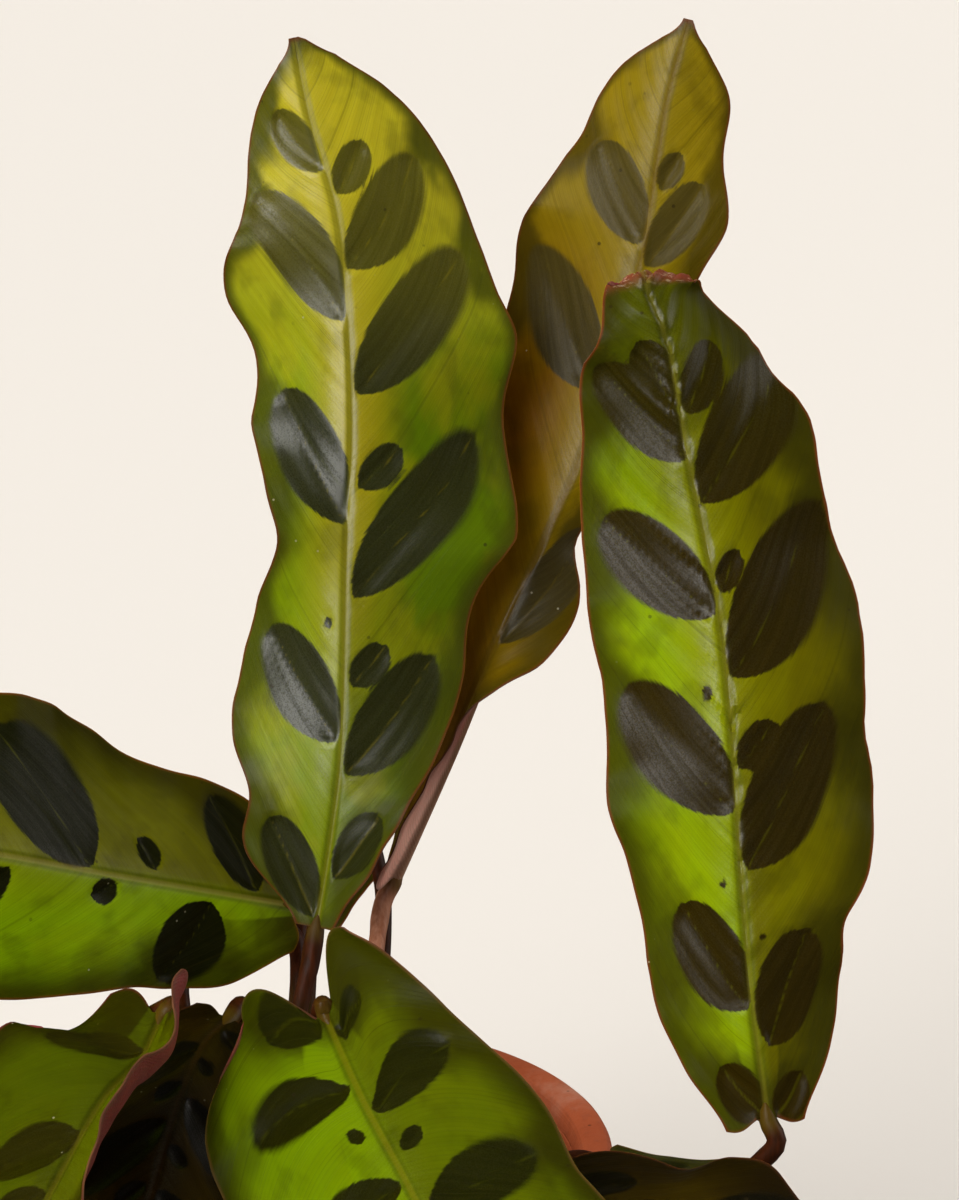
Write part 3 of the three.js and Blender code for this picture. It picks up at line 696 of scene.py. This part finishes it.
blade = {
    "rowsFine": 150, "halfFine": 24,      # rows of faces along, and columns on each side of the rib
    "rowsPlain": 96, "halfPlain": 15,
    "nearRib": 1.35,                      # above 1 the columns crowd at the rib
    "endCrowding": 0.06,                  # how much the rows crowd at foot and tip
    "thickness": 0.55, "rimThickness": 0.3, "thinFrom": 3,
    "ridgeStalk": 1.5, "ridgeTip": 0.2, "ridgeWidth": 1.3,
    "groove": 0.35, "grooveWidth": 0.7,
    "crease": 0.9, "creaseWidth": 3.2, "creaseEase": 1.5,  # the valley down the middle of a marking
    "roof": 0.12, "roofEase": 3,          # how the two halves fall back from the rib, straight
    "arch": 0.9, "archAt": 20,            # and bowed
    "quilt": 0.07, "quiltStep": 6.5, "quiltFrom": 4,       # soft swellings between the side veins
    "flutter": 0.3, "flutterStep": 11,    # small waves of the margin
    "narrow": 5,                          # where a half is narrower, its relief is lower
    "creases": 5, "creasesFade": 5, "creasesFrom": 60,     # of a crumpled leaf, beside the rib
    "tipReach": 0.9, "tipRound": 0.025, "liftPower": 1.4, "lobeEnd": 0.3, "lobeTurn": 2.26,
    "ribHalf": 2, "ribShare": 0.3,
}

ripple = {"steps": 14, "swell": 0.09, "swellTurns": 26, "rise": 3.2, "riseTurns": 13, "droop": 1.5,
          "lobe": 2.5, "rightWider": 1.15, "rightLater": 2.2,
          "marksLeft": (4, 128), "marksRight": (11, 128)}


def rippled(width, phase):
    # the margin of a leaf that isn't measured: a long oval with waves
    reach, lift = [], []
    for i in range(ripple["steps"] + 1):
        t = i / ripple["steps"]
        oval = math.sin(math.pi * (t * 0.96 + 0.04) ** 0.8) ** 0.62 * (1 - t ** 12)
        swell = ripple["swell"] * math.sin(ripple["swellTurns"] * t + 2 * phase)
        reach.append(width * oval * (1 + swell))
        lift.append(oval * (ripple["rise"] * math.sin(ripple["riseTurns"] * t + phase) - ripple["droop"]))
    return {"reach": reach, "lift": lift, "lobe": ripple["lobe"]}


def smoothThrough(points, x, held):
    # places x, in steps, on a smooth line through the points; held repeats the end points
    points = np.asarray(points, float)
    last = len(points) - 1
    i = np.clip(np.floor(x).astype(int), 0, last - 1)
    f = (x - i)[:, None]
    before, after = (points[:1], points[-1:]) if held else (
        2 * points[:1] - points[1:2], 2 * points[-1:] - points[-2:-1])
    around = np.vstack([before, points, after])
    a, b, c, d = around[i], around[i + 1], around[i + 2], around[i + 3]
    return 0.5 * (2 * b + (c - a) * f + (2 * a - 5 * b + 4 * c - d) * f ** 2
                  + (3 * b - a - 3 * c + d) * f ** 3)


def valueAt(values, t):
    column = np.asarray(values, float)[:, None]
    return smoothThrough(column, t * (len(column) - 1), True)[:, 0]


def lineAt(points, t):
    # place and direction at a share t of a line's length, and that length
    dense = smoothThrough(points, np.linspace(0, len(points) - 1, 801), False)
    run = np.concatenate([[0], np.cumsum(np.linalg.norm(np.diff(dense, axis=0), axis=1))])

    def at(share):
        return np.stack([np.interp(share * run[-1], run, dense[:, k]) for k in range(3)], 1)

    ahead = at(np.clip(t + 0.002, 0, 1)) - at(np.clip(t - 0.002, 0, 1))
    return at(t), ahead / np.linalg.norm(ahead, axis=1)[:, None], run[-1]


def ribFrame(leaf, t):
    place, tangent, length = lineAt(leaf["rib"], t)
    keys = np.asarray(leaf["face"], float)
    step = t * (len(keys) - 1)
    i = np.minimum(np.floor(step).astype(int), len(keys) - 2)
    f = (step - i)[:, None]
    look = keys[i] * (1 - f) + keys[i + 1] * f
    look -= (look * tangent).sum(1)[:, None] * tangent
    look /= np.linalg.norm(look, axis=1)[:, None]
    return place, tangent, look, np.cross(tangent, look), length


def layMarks(edge, length, lean, draw):
    # alternate long and short ovals from the first place to the second
    place, stop = edge["byRule"]
    marks = []
    long = True
    while place < stop:
        reach = float(valueAt(edge["reach"], np.array([place / length]))[0])
        out = max(reach, 4) * draw.uniform(0.72, 0.84) * (1 if long else 0.34)
        size = out / math.sin(math.radians(lean))
        width = size * (draw.uniform(0.38, 0.46) if long else 0.6)
        marks.append((place, draw.uniform(0.6, 1.6), size, width, lean + draw.uniform(-4, 4)))
        place += max(width * 1.1, 7) + (draw.uniform(3, 6) if long else draw.uniform(2, 4))
        long = not long
    return marks


def markDistance(mark, lengthwise, out):
    # millimetres inside a marking, below zero outside it, and the distance from its middle vein
    root, gap, length, width, lean = mark
    cos, sin = math.cos(math.radians(lean)), math.sin(math.radians(lean))
    x, y = lengthwise - root, out - gap
    p = x * cos + y * sin
    q = y * cos - x * sin + 0.05 * p * np.abs(p) / length
    middle = 0.52 * length
    share = np.abs(p - middle) / np.where(p < middle, middle, length - middle)
    pointed = np.where(p < middle, 0.68, 0.44)
    half = width / 2 * np.maximum(1 - share ** 2, 0) ** pointed
    beyond = np.maximum(share - 1, 0) * length / 2
    return np.where(share < 1, half - np.abs(q), -np.hypot(q, beyond)), np.abs(q)


def bladePlaces(leaf, t, s, sign):
    # the upper face, t along the rib and s from the rib to the margin
    place, tangent, look, side, length = ribFrame(leaf, t)
    edge = leaf["left"] if sign < 0 else leaf["right"]
    rounded = np.sqrt(np.clip((1 - t) / blade["tipRound"], 0, 1))
    reach = valueAt(edge["reach"], t) * rounded + blade["tipReach"] * t
    lift = valueAt(edge["lift"], t)
    fold = valueAt(edge["fold"], t) if "fold" in edge else 0 * t
    back = edge["lobe"] * np.maximum(0, 1 - t / blade["lobeEnd"])
    first = np.minimum(blade["ribHalf"] / np.hypot(reach, lift), blade["ribShare"])
    turn = np.clip((s - first) / (1 - first), 0, 1)
    flat = sign * (reach * s + fold * np.sin(np.pi * s))
    up = lift * s ** blade["liftPower"]
    drawn = back * np.sin(blade["lobeTurn"] * turn)
    points = place + side * flat[:, None] + look * up[:, None] - tangent * drawn[:, None]
    return points, np.hypot(reach, lift + fold), length


def makeBlade(name, leaf, material):
    draw = random.Random(name)
    fine = leaf.get("fine", False)
    rows = blade["rowsFine"] if fine else blade["rowsPlain"]
    columns = 2 * (blade["halfFine"] if fine else blade["halfPlain"])
    deselectAll()
    bpy.ops.mesh.primitive_grid_add(x_subdivisions=columns, y_subdivisions=rows, size=2)
    piece = bpy.context.object
    piece.name = f"leafBlade_{name}"
    mesh = piece.data
    flat = readPoints(mesh)
    sign = np.where(flat[:, 0] < 0, -1, 1)
    s = np.abs(flat[:, 0]) ** blade["nearRib"]
    u = np.clip(flat[:, 1] / 2 + 0.5, 0, 1)
    t = np.clip(u - blade["endCrowding"] * np.sin(2 * np.pi * u), 0, 1)

    points = np.zeros_like(flat)
    reach = np.zeros(len(flat))
    for way in (-1, 1):
        here = sign == way
        points[here], reach[here], length = bladePlaces(leaf, t[here], s[here], way)
    out = reach * s
    lengthwise = t * length
    toTip, toFoot = (1 - t) * length * 0.6, lengthwise * 0.6 + 0.3 + 4 * (s < 0.25)
    toEdge = np.minimum(reach - out, np.minimum(toTip, toFoot))

    lean = leaf.get("veinLean", 40)
    vein = lengthwise - out / math.tan(math.radians(lean)) * (0.75 + 0.5 * s)
    inside = np.full(len(flat), -30.0)
    fromMiddle = np.full(len(flat), 30.0)
    for way, key in ((-1, "left"), (1, "right")):
        edge = leaf[key]
        marks = list(edge.get("marks", []))
        if "byRule" in edge:
            marks += layMarks(edge, length, lean, draw)
        for mark in marks:
            depth, off = markDistance(mark, lengthwise, out)
            better = (sign == way) & (depth > inside)
            inside[better] = depth[better]
            fromMiddle[better] = off[better]

    writePoints(mesh, points * mm)
    normals = np.empty(len(flat) * 3)
    mesh.vertex_normals.foreach_get("vector", normals)
    inMark = np.clip(inside / blade["creaseEase"], 0, 1)
    phase = draw.uniform(0, 6)
    relief = -blade["groove"] * leaf.get("ribGroove", 1) * np.exp(-(out / blade["grooveWidth"]) ** 2)
    relief -= blade["crease"] * np.exp(-fromMiddle / blade["creaseWidth"]) * inMark
    relief -= blade["roof"] * out * (1 - np.exp(-out / blade["roofEase"]))
    relief -= blade["arch"] * (out / blade["archAt"]) ** 2
    if "crumple" in leaf:
        # creases that run out from the rib beside the side veins
        folds = sum(np.sin(draw.uniform(0.7, 2.0) * vein + draw.uniform(-0.3, 0.3) * out + 5 * i)
                    for i in range(blade["creases"])) / 3
        deep = 0.2 + np.exp(-out / blade["creasesFade"])
        relief += leaf["crumple"] * folds * deep * np.clip(lengthwise / blade["creasesFrom"], 0, 1)
    quilted = np.cos(2 * np.pi * vein / blade["quiltStep"]) * np.clip(out / blade["quiltFrom"], 0, 1)
    waves = np.sin(2 * np.pi * lengthwise / blade["flutterStep"] + phase + sign) * s ** 3
    relief += blade["quilt"] * quilted + blade["flutter"] * waves
    relief *= np.clip(reach / blade["narrow"], 0.1, 1)
    writePoints(mesh, (points + normals.reshape(-1, 3) * relief[:, None]) * mm)

    keepVector(mesh, "leafPlace", (lengthwise, out * sign, toEdge))
    keepVector(mesh, "leafMarks", (inside, fromMiddle, vein))
    ridge = blade["ridgeStalk"] * (1 - t) + blade["ridgeTip"] * t
    ridge = ridge * np.exp(-(out / blade["ridgeWidth"]) ** 2)
    inward = np.clip(toEdge / blade["thinFrom"], 0, 1)
    body = blade["rimThickness"] + (blade["thickness"] - blade["rimThickness"]) * inward
    thickest = blade["thickness"] + blade["ridgeStalk"]
    keepWeights(piece, "thickness", (body + ridge) / thickest)
    solid = piece.modifiers.new("thickness", "SOLIDIFY")
    solid.thickness = thickest * mm
    solid.offset = -1
    solid.vertex_group = "thickness"
    solid.use_rim = True
    solid.material_offset = 1
    solid.material_offset_rim = 2
    for finish in (material, undersides[leaf.get("under", "wine")], rimFinish):
        mesh.materials.append(finish)
    applyAll(piece)
    handIn(piece, f"blade_{name}", 50)


# stalks

stalk = {
    "rootRadius": 2.3, "topRadius": 1.5,
    "jointLength": 11, "jointRadius": 1.75,   # the swollen joint under the blade
    "sheathLength": 34, "sheathRadius": 2.9,  # the leaf base that clasps the stalk
    "places": 90, "round": 5,
    "holeFloor": 84.3, "soilTop": 98, "aboveSoil": 2, "straight": 8, "lead": 6, "sink": 0.9, "gap": 0.3,
    "into": 3,                                # how far it runs on inside the rib
}


def stalkLine(leaf):
    place, tangent, look, _, _ = ribFrame(leaf, np.array([0.0]))
    place, tangent, look = place[0], tangent[0], look[0]
    top = place - tangent * stalk["gap"] - look * stalk["sink"]
    x, y = leaf["foot"]
    low, mouth = stalk["holeFloor"], stalk["soilTop"] + stalk["aboveSoil"]
    upright = [(x, y, z) for z in (low, (low + mouth) / 2, mouth, stalk["soilTop"] + stalk["straight"])]
    return upright + list(leaf["stalk"]) + [top - tangent * leaf.get("lead", stalk["lead"]), top], tangent


def makeStalkFinish(name, dark, light):
    material, tree = newMaterial(name)
    fromSoil, toBlade, _ = attributeParts(tree, "stalkPlace")[1]
    streaks = noise(tree, stretched(tree, objectPlace(tree), (900, 900, 60)), 1, 4, 0.6)
    patches = noise(tree, objectPlace(tree), 70, 3)
    colour = layered(
        tree, paint(*dark),
        (ramp(tree, streaks, 0.3, 0.7), paint(*light)),
        (ramp(tree, toBlade, 0.3, 3.5, 0.8, 0), paint(84, 66, 12)),  # runs into the rib
        (ramp(tree, fromSoil, 14, 45, 0.75, 0), paint(96, 96, 40)),  # greener at the foot
        (ramp(tree, patches, 0.55, 0.75, 0, 0.5), paint(58, 34, 26)))
    colour = dusted(tree, colour, 0.35, 0.5)["Colour"]
    rough = ramp(tree, patches, 0.3, 0.7, 0.36, 0.52)
    return finishMaterial(material, colour, rough, times(tree, streaks, 0.16), others={
        "Specular IOR Level": 0.2,
        "Subsurface Weight": 0.15, "Subsurface Radius": (1.0, 0.5, 0.3), "Subsurface Scale": 0.6 * mm})


stalkFinishes = {"dark": makeStalkFinish("stalkDark", (48, 21, 4), (72, 32, 10)),
                 "rosy": makeStalkFinish("stalkRosy", (150, 94, 66), (184, 130, 102))}


def makeStalk(name, leaf):
    points, tangent = stalkLine(leaf)
    share = np.linspace(0, 1, stalk["places"])
    line, _, length = lineAt(points, share)
    inner = line[-1] + tangent * np.array([[stalk["into"] * 0.5], [stalk["into"]]])
    buried = stalk["soilTop"] - stalk["holeFloor"]
    toBlade = (1 - share) * length
    fromSoil = share * length - buried
    radius = stalk["rootRadius"] + (stalk["topRadius"] - stalk["rootRadius"]) * share
    atJoint = np.clip((stalk["jointLength"] - toBlade) / 2.5, 0, 1) * np.clip((toBlade + 2) / 4, 0, 1)
    inSheath = np.clip((stalk["sheathLength"] - fromSoil) / (0.5 * stalk["sheathLength"]), 0, 1)
    radius += (stalk["jointRadius"] - stalk["topRadius"]) * atJoint
    radius += (stalk["sheathRadius"] - stalk["rootRadius"]) * inSheath
    line = np.vstack([line, inner])
    radius = np.concatenate([radius, [stalk["topRadius"] * 0.8, 0.4]])

    curve = bpy.data.curves.new(f"leafStalk_{name}", "CURVE")
    curve.dimensions = "3D"
    curve.bevel_depth = mm
    curve.bevel_resolution = stalk["round"]
    curve.use_fill_caps = True
    spline = curve.splines.new("POLY")
    spline.points.add(len(line) - 1)
    for point, place, size in zip(spline.points, line, radius):
        point.co = (*(place * mm), 1)
        point.radius = size
    makeActive(addObject(f"leafStalk_{name}", curve))
    bpy.ops.object.convert(target="MESH")
    piece = bpy.context.object
    places = readPoints(piece.data) / mm
    nearest = np.linalg.norm(places[:, None] - line[None], axis=2).argmin(1)
    along = np.concatenate([toBlade, [0, 0]])[nearest]
    keepVector(piece.data, "stalkPlace", (length - along - buried, along, 0 * along))
    piece.data.materials.clear()
    piece.data.materials.append(stalkFinishes[leaf.get("stalkTone", "dark")])
    handIn(piece, f"stalk_{name}", 60)


for leaf in leaves.values():
    if "edge" in leaf:
        width, phase = leaf["edge"]
        leaf["left"] = rippled(width, phase)
        leaf["right"] = rippled(width * ripple["rightWider"], phase + ripple["rightLater"])
        leaf["left"]["byRule"], leaf["right"]["byRule"] = ripple["marksLeft"], ripple["marksRight"]

tops = {name: leafTop(f"leafTop_{name}", tone) for name, tone in tones.items()}
for name, leaf in leaves.items():
    makeBlade(name, leaf, tops[leaf["tone"]])
    makeStalk(name, leaf)
print("leaves made:", len(leaves))


# pot

pot = {
    # radius and height of each edge of the turned wall, up the outside and down the inside
    "profile": [(7, 0), (30, 0), (41.2, 0), (42.6, 0.5), (43.1, 1.8), (45, 12.5), (50, 43), (55, 73.5),
                (57, 85.6), (57.3, 86), (60.4, 86), (61.3, 86.5), (61.6, 87.6), (62.5, 97), (63.3, 106.4),
                (63.5, 108), (63.1, 109.3), (62, 110), (60.2, 110), (58.6, 109.8), (57.0, 108.9),
                (56.4, 107), (55.2, 100), (51.6, 86), (45, 47), (39.2, 12), (37.4, 8.8), (34, 8), (20, 8),
                (7.6, 8), (7, 7.2)],
    "sides": 128,
    "wander": 0.35, "wanderSize": 35,  # how uneven the fired wall is, and over what length
    "footBelow": 0.25,                 # what lies below this stands flat
}


def makePotFinish():
    material, tree = newMaterial("terracotta")
    place = objectPlace(tree)
    height = fedNode(tree, "ShaderNodeSeparateXYZ", {0: place}).outputs[2]
    broad = noise(tree, place, 18, 4, 0.6)
    fine = noise(tree, place, 420, 4, 0.65)
    turning = noise(tree, stretched(tree, place, (3, 3, 900)), 1, 3, 0.6)
    # lime bloom, mostly low on the wall, and the damp line where the soil stands behind it
    bloom = times(tree, ramp(tree, noise(tree, place, 34, 6, 0.7), 0.5, 0.74),
                  ramp(tree, height, 0.02, 0.075, 0.8, 0.25))
    wavyHeight = maths(tree, "ADD", height, times(tree, broad, 0.02))
    damp = ramp(tree, wavyHeight, 0.09, 0.108, 0.21, 0)
    colour = layered(
        tree, paint(172, 82, 46),
        (ramp(tree, broad, 0.3, 0.7), paint(190, 100, 62)),
        (ramp(tree, turning, 0.3, 0.7, 0, 0.35), paint(156, 74, 42)),
        (ramp(tree, fine, 0.5, 0.72, 0, 0.4), paint(150, 84, 60)),
        (bloom, paint(222, 200, 178)),
        (damp, paint(148, 88, 62)))
    relief = maths(tree, "MULTIPLY_ADD", turning, 0.5, times(tree, fine, 0.28))
    relief = maths(tree, "MULTIPLY_ADD", bloom, 0.12, relief)
    return finishMaterial(material, dusted(tree, colour, 0.25, 0.6)["Colour"],
                          ramp(tree, fine, 0.3, 0.7, 0.78, 0.92), relief)


def turnUp(name, profile, sides):
    # left in edit mode, with the last ring selected
    deselectAll()
    radius, height = profile[0]
    bpy.ops.mesh.primitive_circle_add(vertices=sides, radius=radius * mm, location=(0, 0, height * mm))
    piece = bpy.context.object
    piece.name = name
    bpy.ops.object.transform_apply(location=True)
    editAll()
    pullUp(profile, mm)
    return piece


def closeUp(gap):
    # doubles merged, faces turned outwards, and back out of edit mode
    bpy.ops.mesh.select_all(action="SELECT")
    bpy.ops.mesh.remove_doubles(threshold=gap)
    bpy.ops.mesh.normals_make_consistent(inside=False)
    leaveEdit()


def makePot():
    piece = turnUp("pot_terracotta", pot["profile"] + pot["profile"][:1], pot["sides"])
    closeUp(0.02 * mm)
    smooth = piece.modifiers.new("smooth", "SUBSURF")
    smooth.levels = smooth.render_levels = 1
    grain = bpy.data.textures.new("wallWander", "CLOUDS")
    grain.noise_scale = pot["wanderSize"] * mm
    uneven = piece.modifiers.new("uneven", "DISPLACE")
    uneven.texture = grain
    uneven.texture_coords = "LOCAL"
    uneven.strength = pot["wander"] * mm
    applyAll(piece)
    points = readPoints(piece.data)
    points[:, 2] = np.where(points[:, 2] < pot["footBelow"] * mm, 0, points[:, 2])
    writePoints(piece.data, points)
    piece.data.materials.append(makePotFinish())
    handIn(piece, "pot", 45)


makePot()
print("pot made")


# soil

soil = {
    "profile": [(36, 8.4), (39.2, 13), (51.0, 86), (54.6, 97.2), (54, 98.2), (51.5, 98.6), (47, 98.8)],
    "sides": 96, "rings": 15,  # the rings are drawn in from the last edge to the middle
    "lumps": 1.1, "lumpSize": 6, "lumpsAbove": 98.7,
    "light": (58, 40, 28), "dark": (30, 20, 14), "grain": 650, "bump": 0.9,
    "chipsOn": 99.0, "chipsWithin": 50.5,  # their height, and the radius that keeps them off the wall
    "seed": 11,
    "chips": [
        {"name": "bark", "count": 260, "size": (1.6, 4.2), "flat": 0.32, "seed": 3,
         "light": (112, 74, 46), "dark": (62, 38, 24), "grain": 500, "bump": 0.4},
        {"name": "grit", "count": 120, "size": (0.8, 2.0), "flat": 0.8, "seed": 5,
         "light": (214, 208, 192), "dark": (164, 156, 138), "grain": 900, "bump": 0.3},
    ],
}


def makeSoilFinish(name, kind):
    material, tree = newMaterial(name)
    place = objectPlace(tree)
    crumbs = cells(tree, place, kind["grain"])
    patches = noise(tree, place, kind["grain"] * 0.2, 5, 0.7)
    fine = noise(tree, place, kind["grain"] * 3, 3)
    dark = paint(*kind["dark"])
    colour = layered(
        tree, dark,
        (ramp(tree, patches, 0.3, 0.7), paint(*kind["light"])),
        (ramp(tree, crumbs, 0.1, 0.6, 0.5, 0), dark))
    return finishMaterial(material, colour, ramp(tree, fine, 0.3, 0.7, 0.82, 0.97),
                          maths(tree, "MULTIPLY_ADD", fine, 0.5, crumbs), kind["bump"])


def makeChip(seed, flatness):
    # one crumb: a small cube with its corners cut and its faces pushed about
    draw = random.Random(seed)
    deselectAll()
    bpy.ops.mesh.primitive_cube_add(size=1, location=(0, 0, 0))
    chip = bpy.context.object
    editAll()
    bpy.ops.mesh.bevel(offset=0.24, segments=1, affect="EDGES")
    bpy.ops.mesh.select_all(action="SELECT")
    bpy.ops.transform.resize(value=(1, 0.7, flatness))
    leaveEdit()
    for vertex in chip.data.vertices:
        vertex.co *= draw.uniform(0.8, 1.2)
    return chip


def scatterChips(kind, draw, material):
    # copies of one crumb, each turned and tipped its own way
    chip = makeChip(kind["seed"], kind["flat"])
    base = readPoints(chip.data)
    made = []
    for _ in range(kind["count"]):
        radius, turn = soil["chipsWithin"] * math.sqrt(draw.random()), draw.uniform(0, 2 * math.pi)
        size = draw.uniform(*kind["size"])
        tilt = Vector((draw.uniform(-0.5, 0.5), draw.uniform(-0.5, 0.5), 1)).normalized()
        spin = tilt.to_track_quat("Z", "X").to_matrix()
        about = draw.uniform(0, 2 * math.pi)
        cos, sin = math.cos(about), math.sin(about)
        turned = base @ np.array([[cos, sin, 0], [-sin, cos, 0], [0, 0, 1]]) @ np.array(spin).T
        copy = chip.copy()
        copy.data = chip.data.copy()
        copy.data.materials.clear()
        copy.data.materials.append(material)
        bpy.context.scene.collection.objects.link(copy)
        middle = (radius * math.cos(turn), radius * math.sin(turn), soil["chipsOn"] + 0.25 * size)
        writePoints(copy.data, (turned * size + np.array(middle)) * mm)
        made.append(copy)
    bpy.data.objects.remove(chip)
    return made


def makeSoil():
    draw = random.Random(soil["seed"])
    piece = turnUp("pottingSoil", soil["profile"], soil["sides"])
    for i in range(soil["rings"]):
        grow = (soil["rings"] - i - 0.6) / (soil["rings"] - i + 0.4)
        bpy.ops.mesh.extrude_region_move(TRANSFORM_OT_translate={"value": (0, 0, 0)})
        bpy.ops.transform.resize(value=(grow, grow, 1), center_override=(0, 0, 0))
    bpy.ops.mesh.merge(type="CENTER")
    # the underside is closed by a face over the first ring
    bpy.ops.mesh.select_all(action="DESELECT")
    leaveEdit()
    low = (soil["profile"][0][1] + 0.01) * mm
    for vertex in piece.data.vertices:
        vertex.select = vertex.co.z < low
    bpy.ops.object.mode_set(mode="EDIT")
    bpy.ops.mesh.select_mode(type="VERT")
    bpy.ops.mesh.fill()
    closeUp(0.01 * mm)
    onTop = readPoints(piece.data)[:, 2] > soil["lumpsAbove"] * mm
    lumps = bpy.data.textures.new("soilLumps", "CLOUDS")
    lumps.noise_scale = soil["lumpSize"] * mm
    lumps.noise_depth = 3
    uneven = piece.modifiers.new("lumps", "DISPLACE")
    uneven.texture = lumps
    uneven.texture_coords = "LOCAL"
    uneven.direction = "Z"
    uneven.vertex_group = keepWeights(piece, "top", onTop.astype(float)).name
    uneven.strength = 2 * soil["lumps"] * mm
    applyAll(piece)
    piece.data.materials.append(makeSoilFinish("peat", soil))
    chips = []
    for kind in soil["chips"]:
        chips += scatterChips(kind, draw, makeSoilFinish(kind["name"], kind))
    makeActive(piece)
    for chip in chips:
        chip.select_set(True)
    bpy.ops.object.join()
    handIn(piece, "soil", 35)


makeSoil()
print("soil made")


# floor, light and camera, in metres

studio = {
    "floor": [(0.02, 0), (2.0, 0), (4.6, 0), (5.6, 0.03), (6.4, 0.16), (7.0, 0.42), (7.5, 0.85),
              (7.9, 1.5), (8.1, 2.4), (8.2, 3.6)],
    "floorColour": (239, 235, 230),
    "floorBounce": 0.35,  # how much of the floor's light reaches the plant
    "sky": 0.07, "skyColour": (1, 0.97, 0.92),
    "lens": 100, "sensor": 36, "cameraAt": (0.0374, -0.599, 0.3797), "cameraTilt": 75,
}

# each soft light: where it comes from, how wide it looks, its strength, and whether it makes gloss
lights = {
    "windowLight": {"from": (-0.45, -0.8, 0.4), "spread": 32, "strength": 1.5,
                    "colour": (1, 0.98, 0.95), "gloss": True},
    "windowBounce": {"from": (-0.86, -0.48, 0.2), "spread": 50, "strength": 1.45,
                     "colour": (1, 0.98, 0.94), "gloss": False},
    "topLight": {"from": (-0.3, -0.45, 0.85), "spread": 40, "strength": 1.1,
                 "colour": (1, 0.97, 0.93), "gloss": False},
    "backLeftLight": {"from": (-0.5, 0.75, 0.62), "spread": 40, "strength": 1.9,
                      "colour": (1, 0.96, 0.9), "gloss": False},
    "rightLight": {"from": (0.85, 0.1, 0.25), "spread": 50, "strength": 0.9,
                   "colour": (1, 0.95, 0.88), "gloss": True},
}


def makePaper():
    material, tree = newMaterial("studioPaper")
    pale = paint(*studio["floorColour"])
    dim = tuple(value * studio["floorBounce"] for value in pale[:3]) + (1,)
    seen = addNode(tree, "ShaderNodeLightPath").outputs["Is Camera Ray"]
    return finishMaterial(material, blendColours(tree, seen, dim, pale), 0.9, others={
        "Specular IOR Level": 0.2})


def makeFloor():
    deselectAll()
    bpy.ops.mesh.primitive_circle_add(vertices=96, radius=studio["floor"][0][0], fill_type="NGON",
                                      location=(0, 0, -0.0002))
    floor = bpy.context.object
    floor.name = "studioFloor"
    editAll()
    pullUp(studio["floor"], 1)
    bpy.ops.mesh.delete(type="ONLY_FACE")
    leaveEdit()
    bpy.ops.object.shade_smooth()
    floor.data.materials.append(makePaper())
    floor.visible_glossy = False
    floor.visible_shadow = False  # its raised rim keeps no light off the plant


def addLight(name, light):
    data = bpy.data.lights.new(name, "SUN")
    data.energy = light["strength"]
    data.color = light["colour"]
    data.angle = math.radians(light["spread"])
    lamp = addObject(name, data)
    lamp.rotation_euler = (-Vector(light["from"])).to_track_quat("-Z", "Y").to_euler()
    lamp.visible_glossy = light["gloss"]


def makeSky():
    world = bpy.data.worlds.new("studioSky")
    world.use_nodes = True
    sky = world.node_tree.nodes["Background"]
    sky.inputs[0].default_value = (*studio["skyColour"], 1)
    sky.inputs[1].default_value = studio["sky"]
    bpy.context.scene.world = world


def addCamera():
    data = bpy.data.cameras.new("photoView")
    data.lens = studio["lens"]
    data.sensor_width = studio["sensor"]
    data.clip_end = 30
    camera = addObject("photoView", data)
    camera.location = studio["cameraAt"]
    camera.rotation_euler = (math.radians(studio["cameraTilt"]), 0, 0)
    bpy.context.scene.camera = camera


makeFloor()
for name, light in lights.items():
    addLight(name, light)
makeSky()
addCamera()
bpy.context.scene.view_settings.view_transform = "Standard"
print("floor, light and camera made")
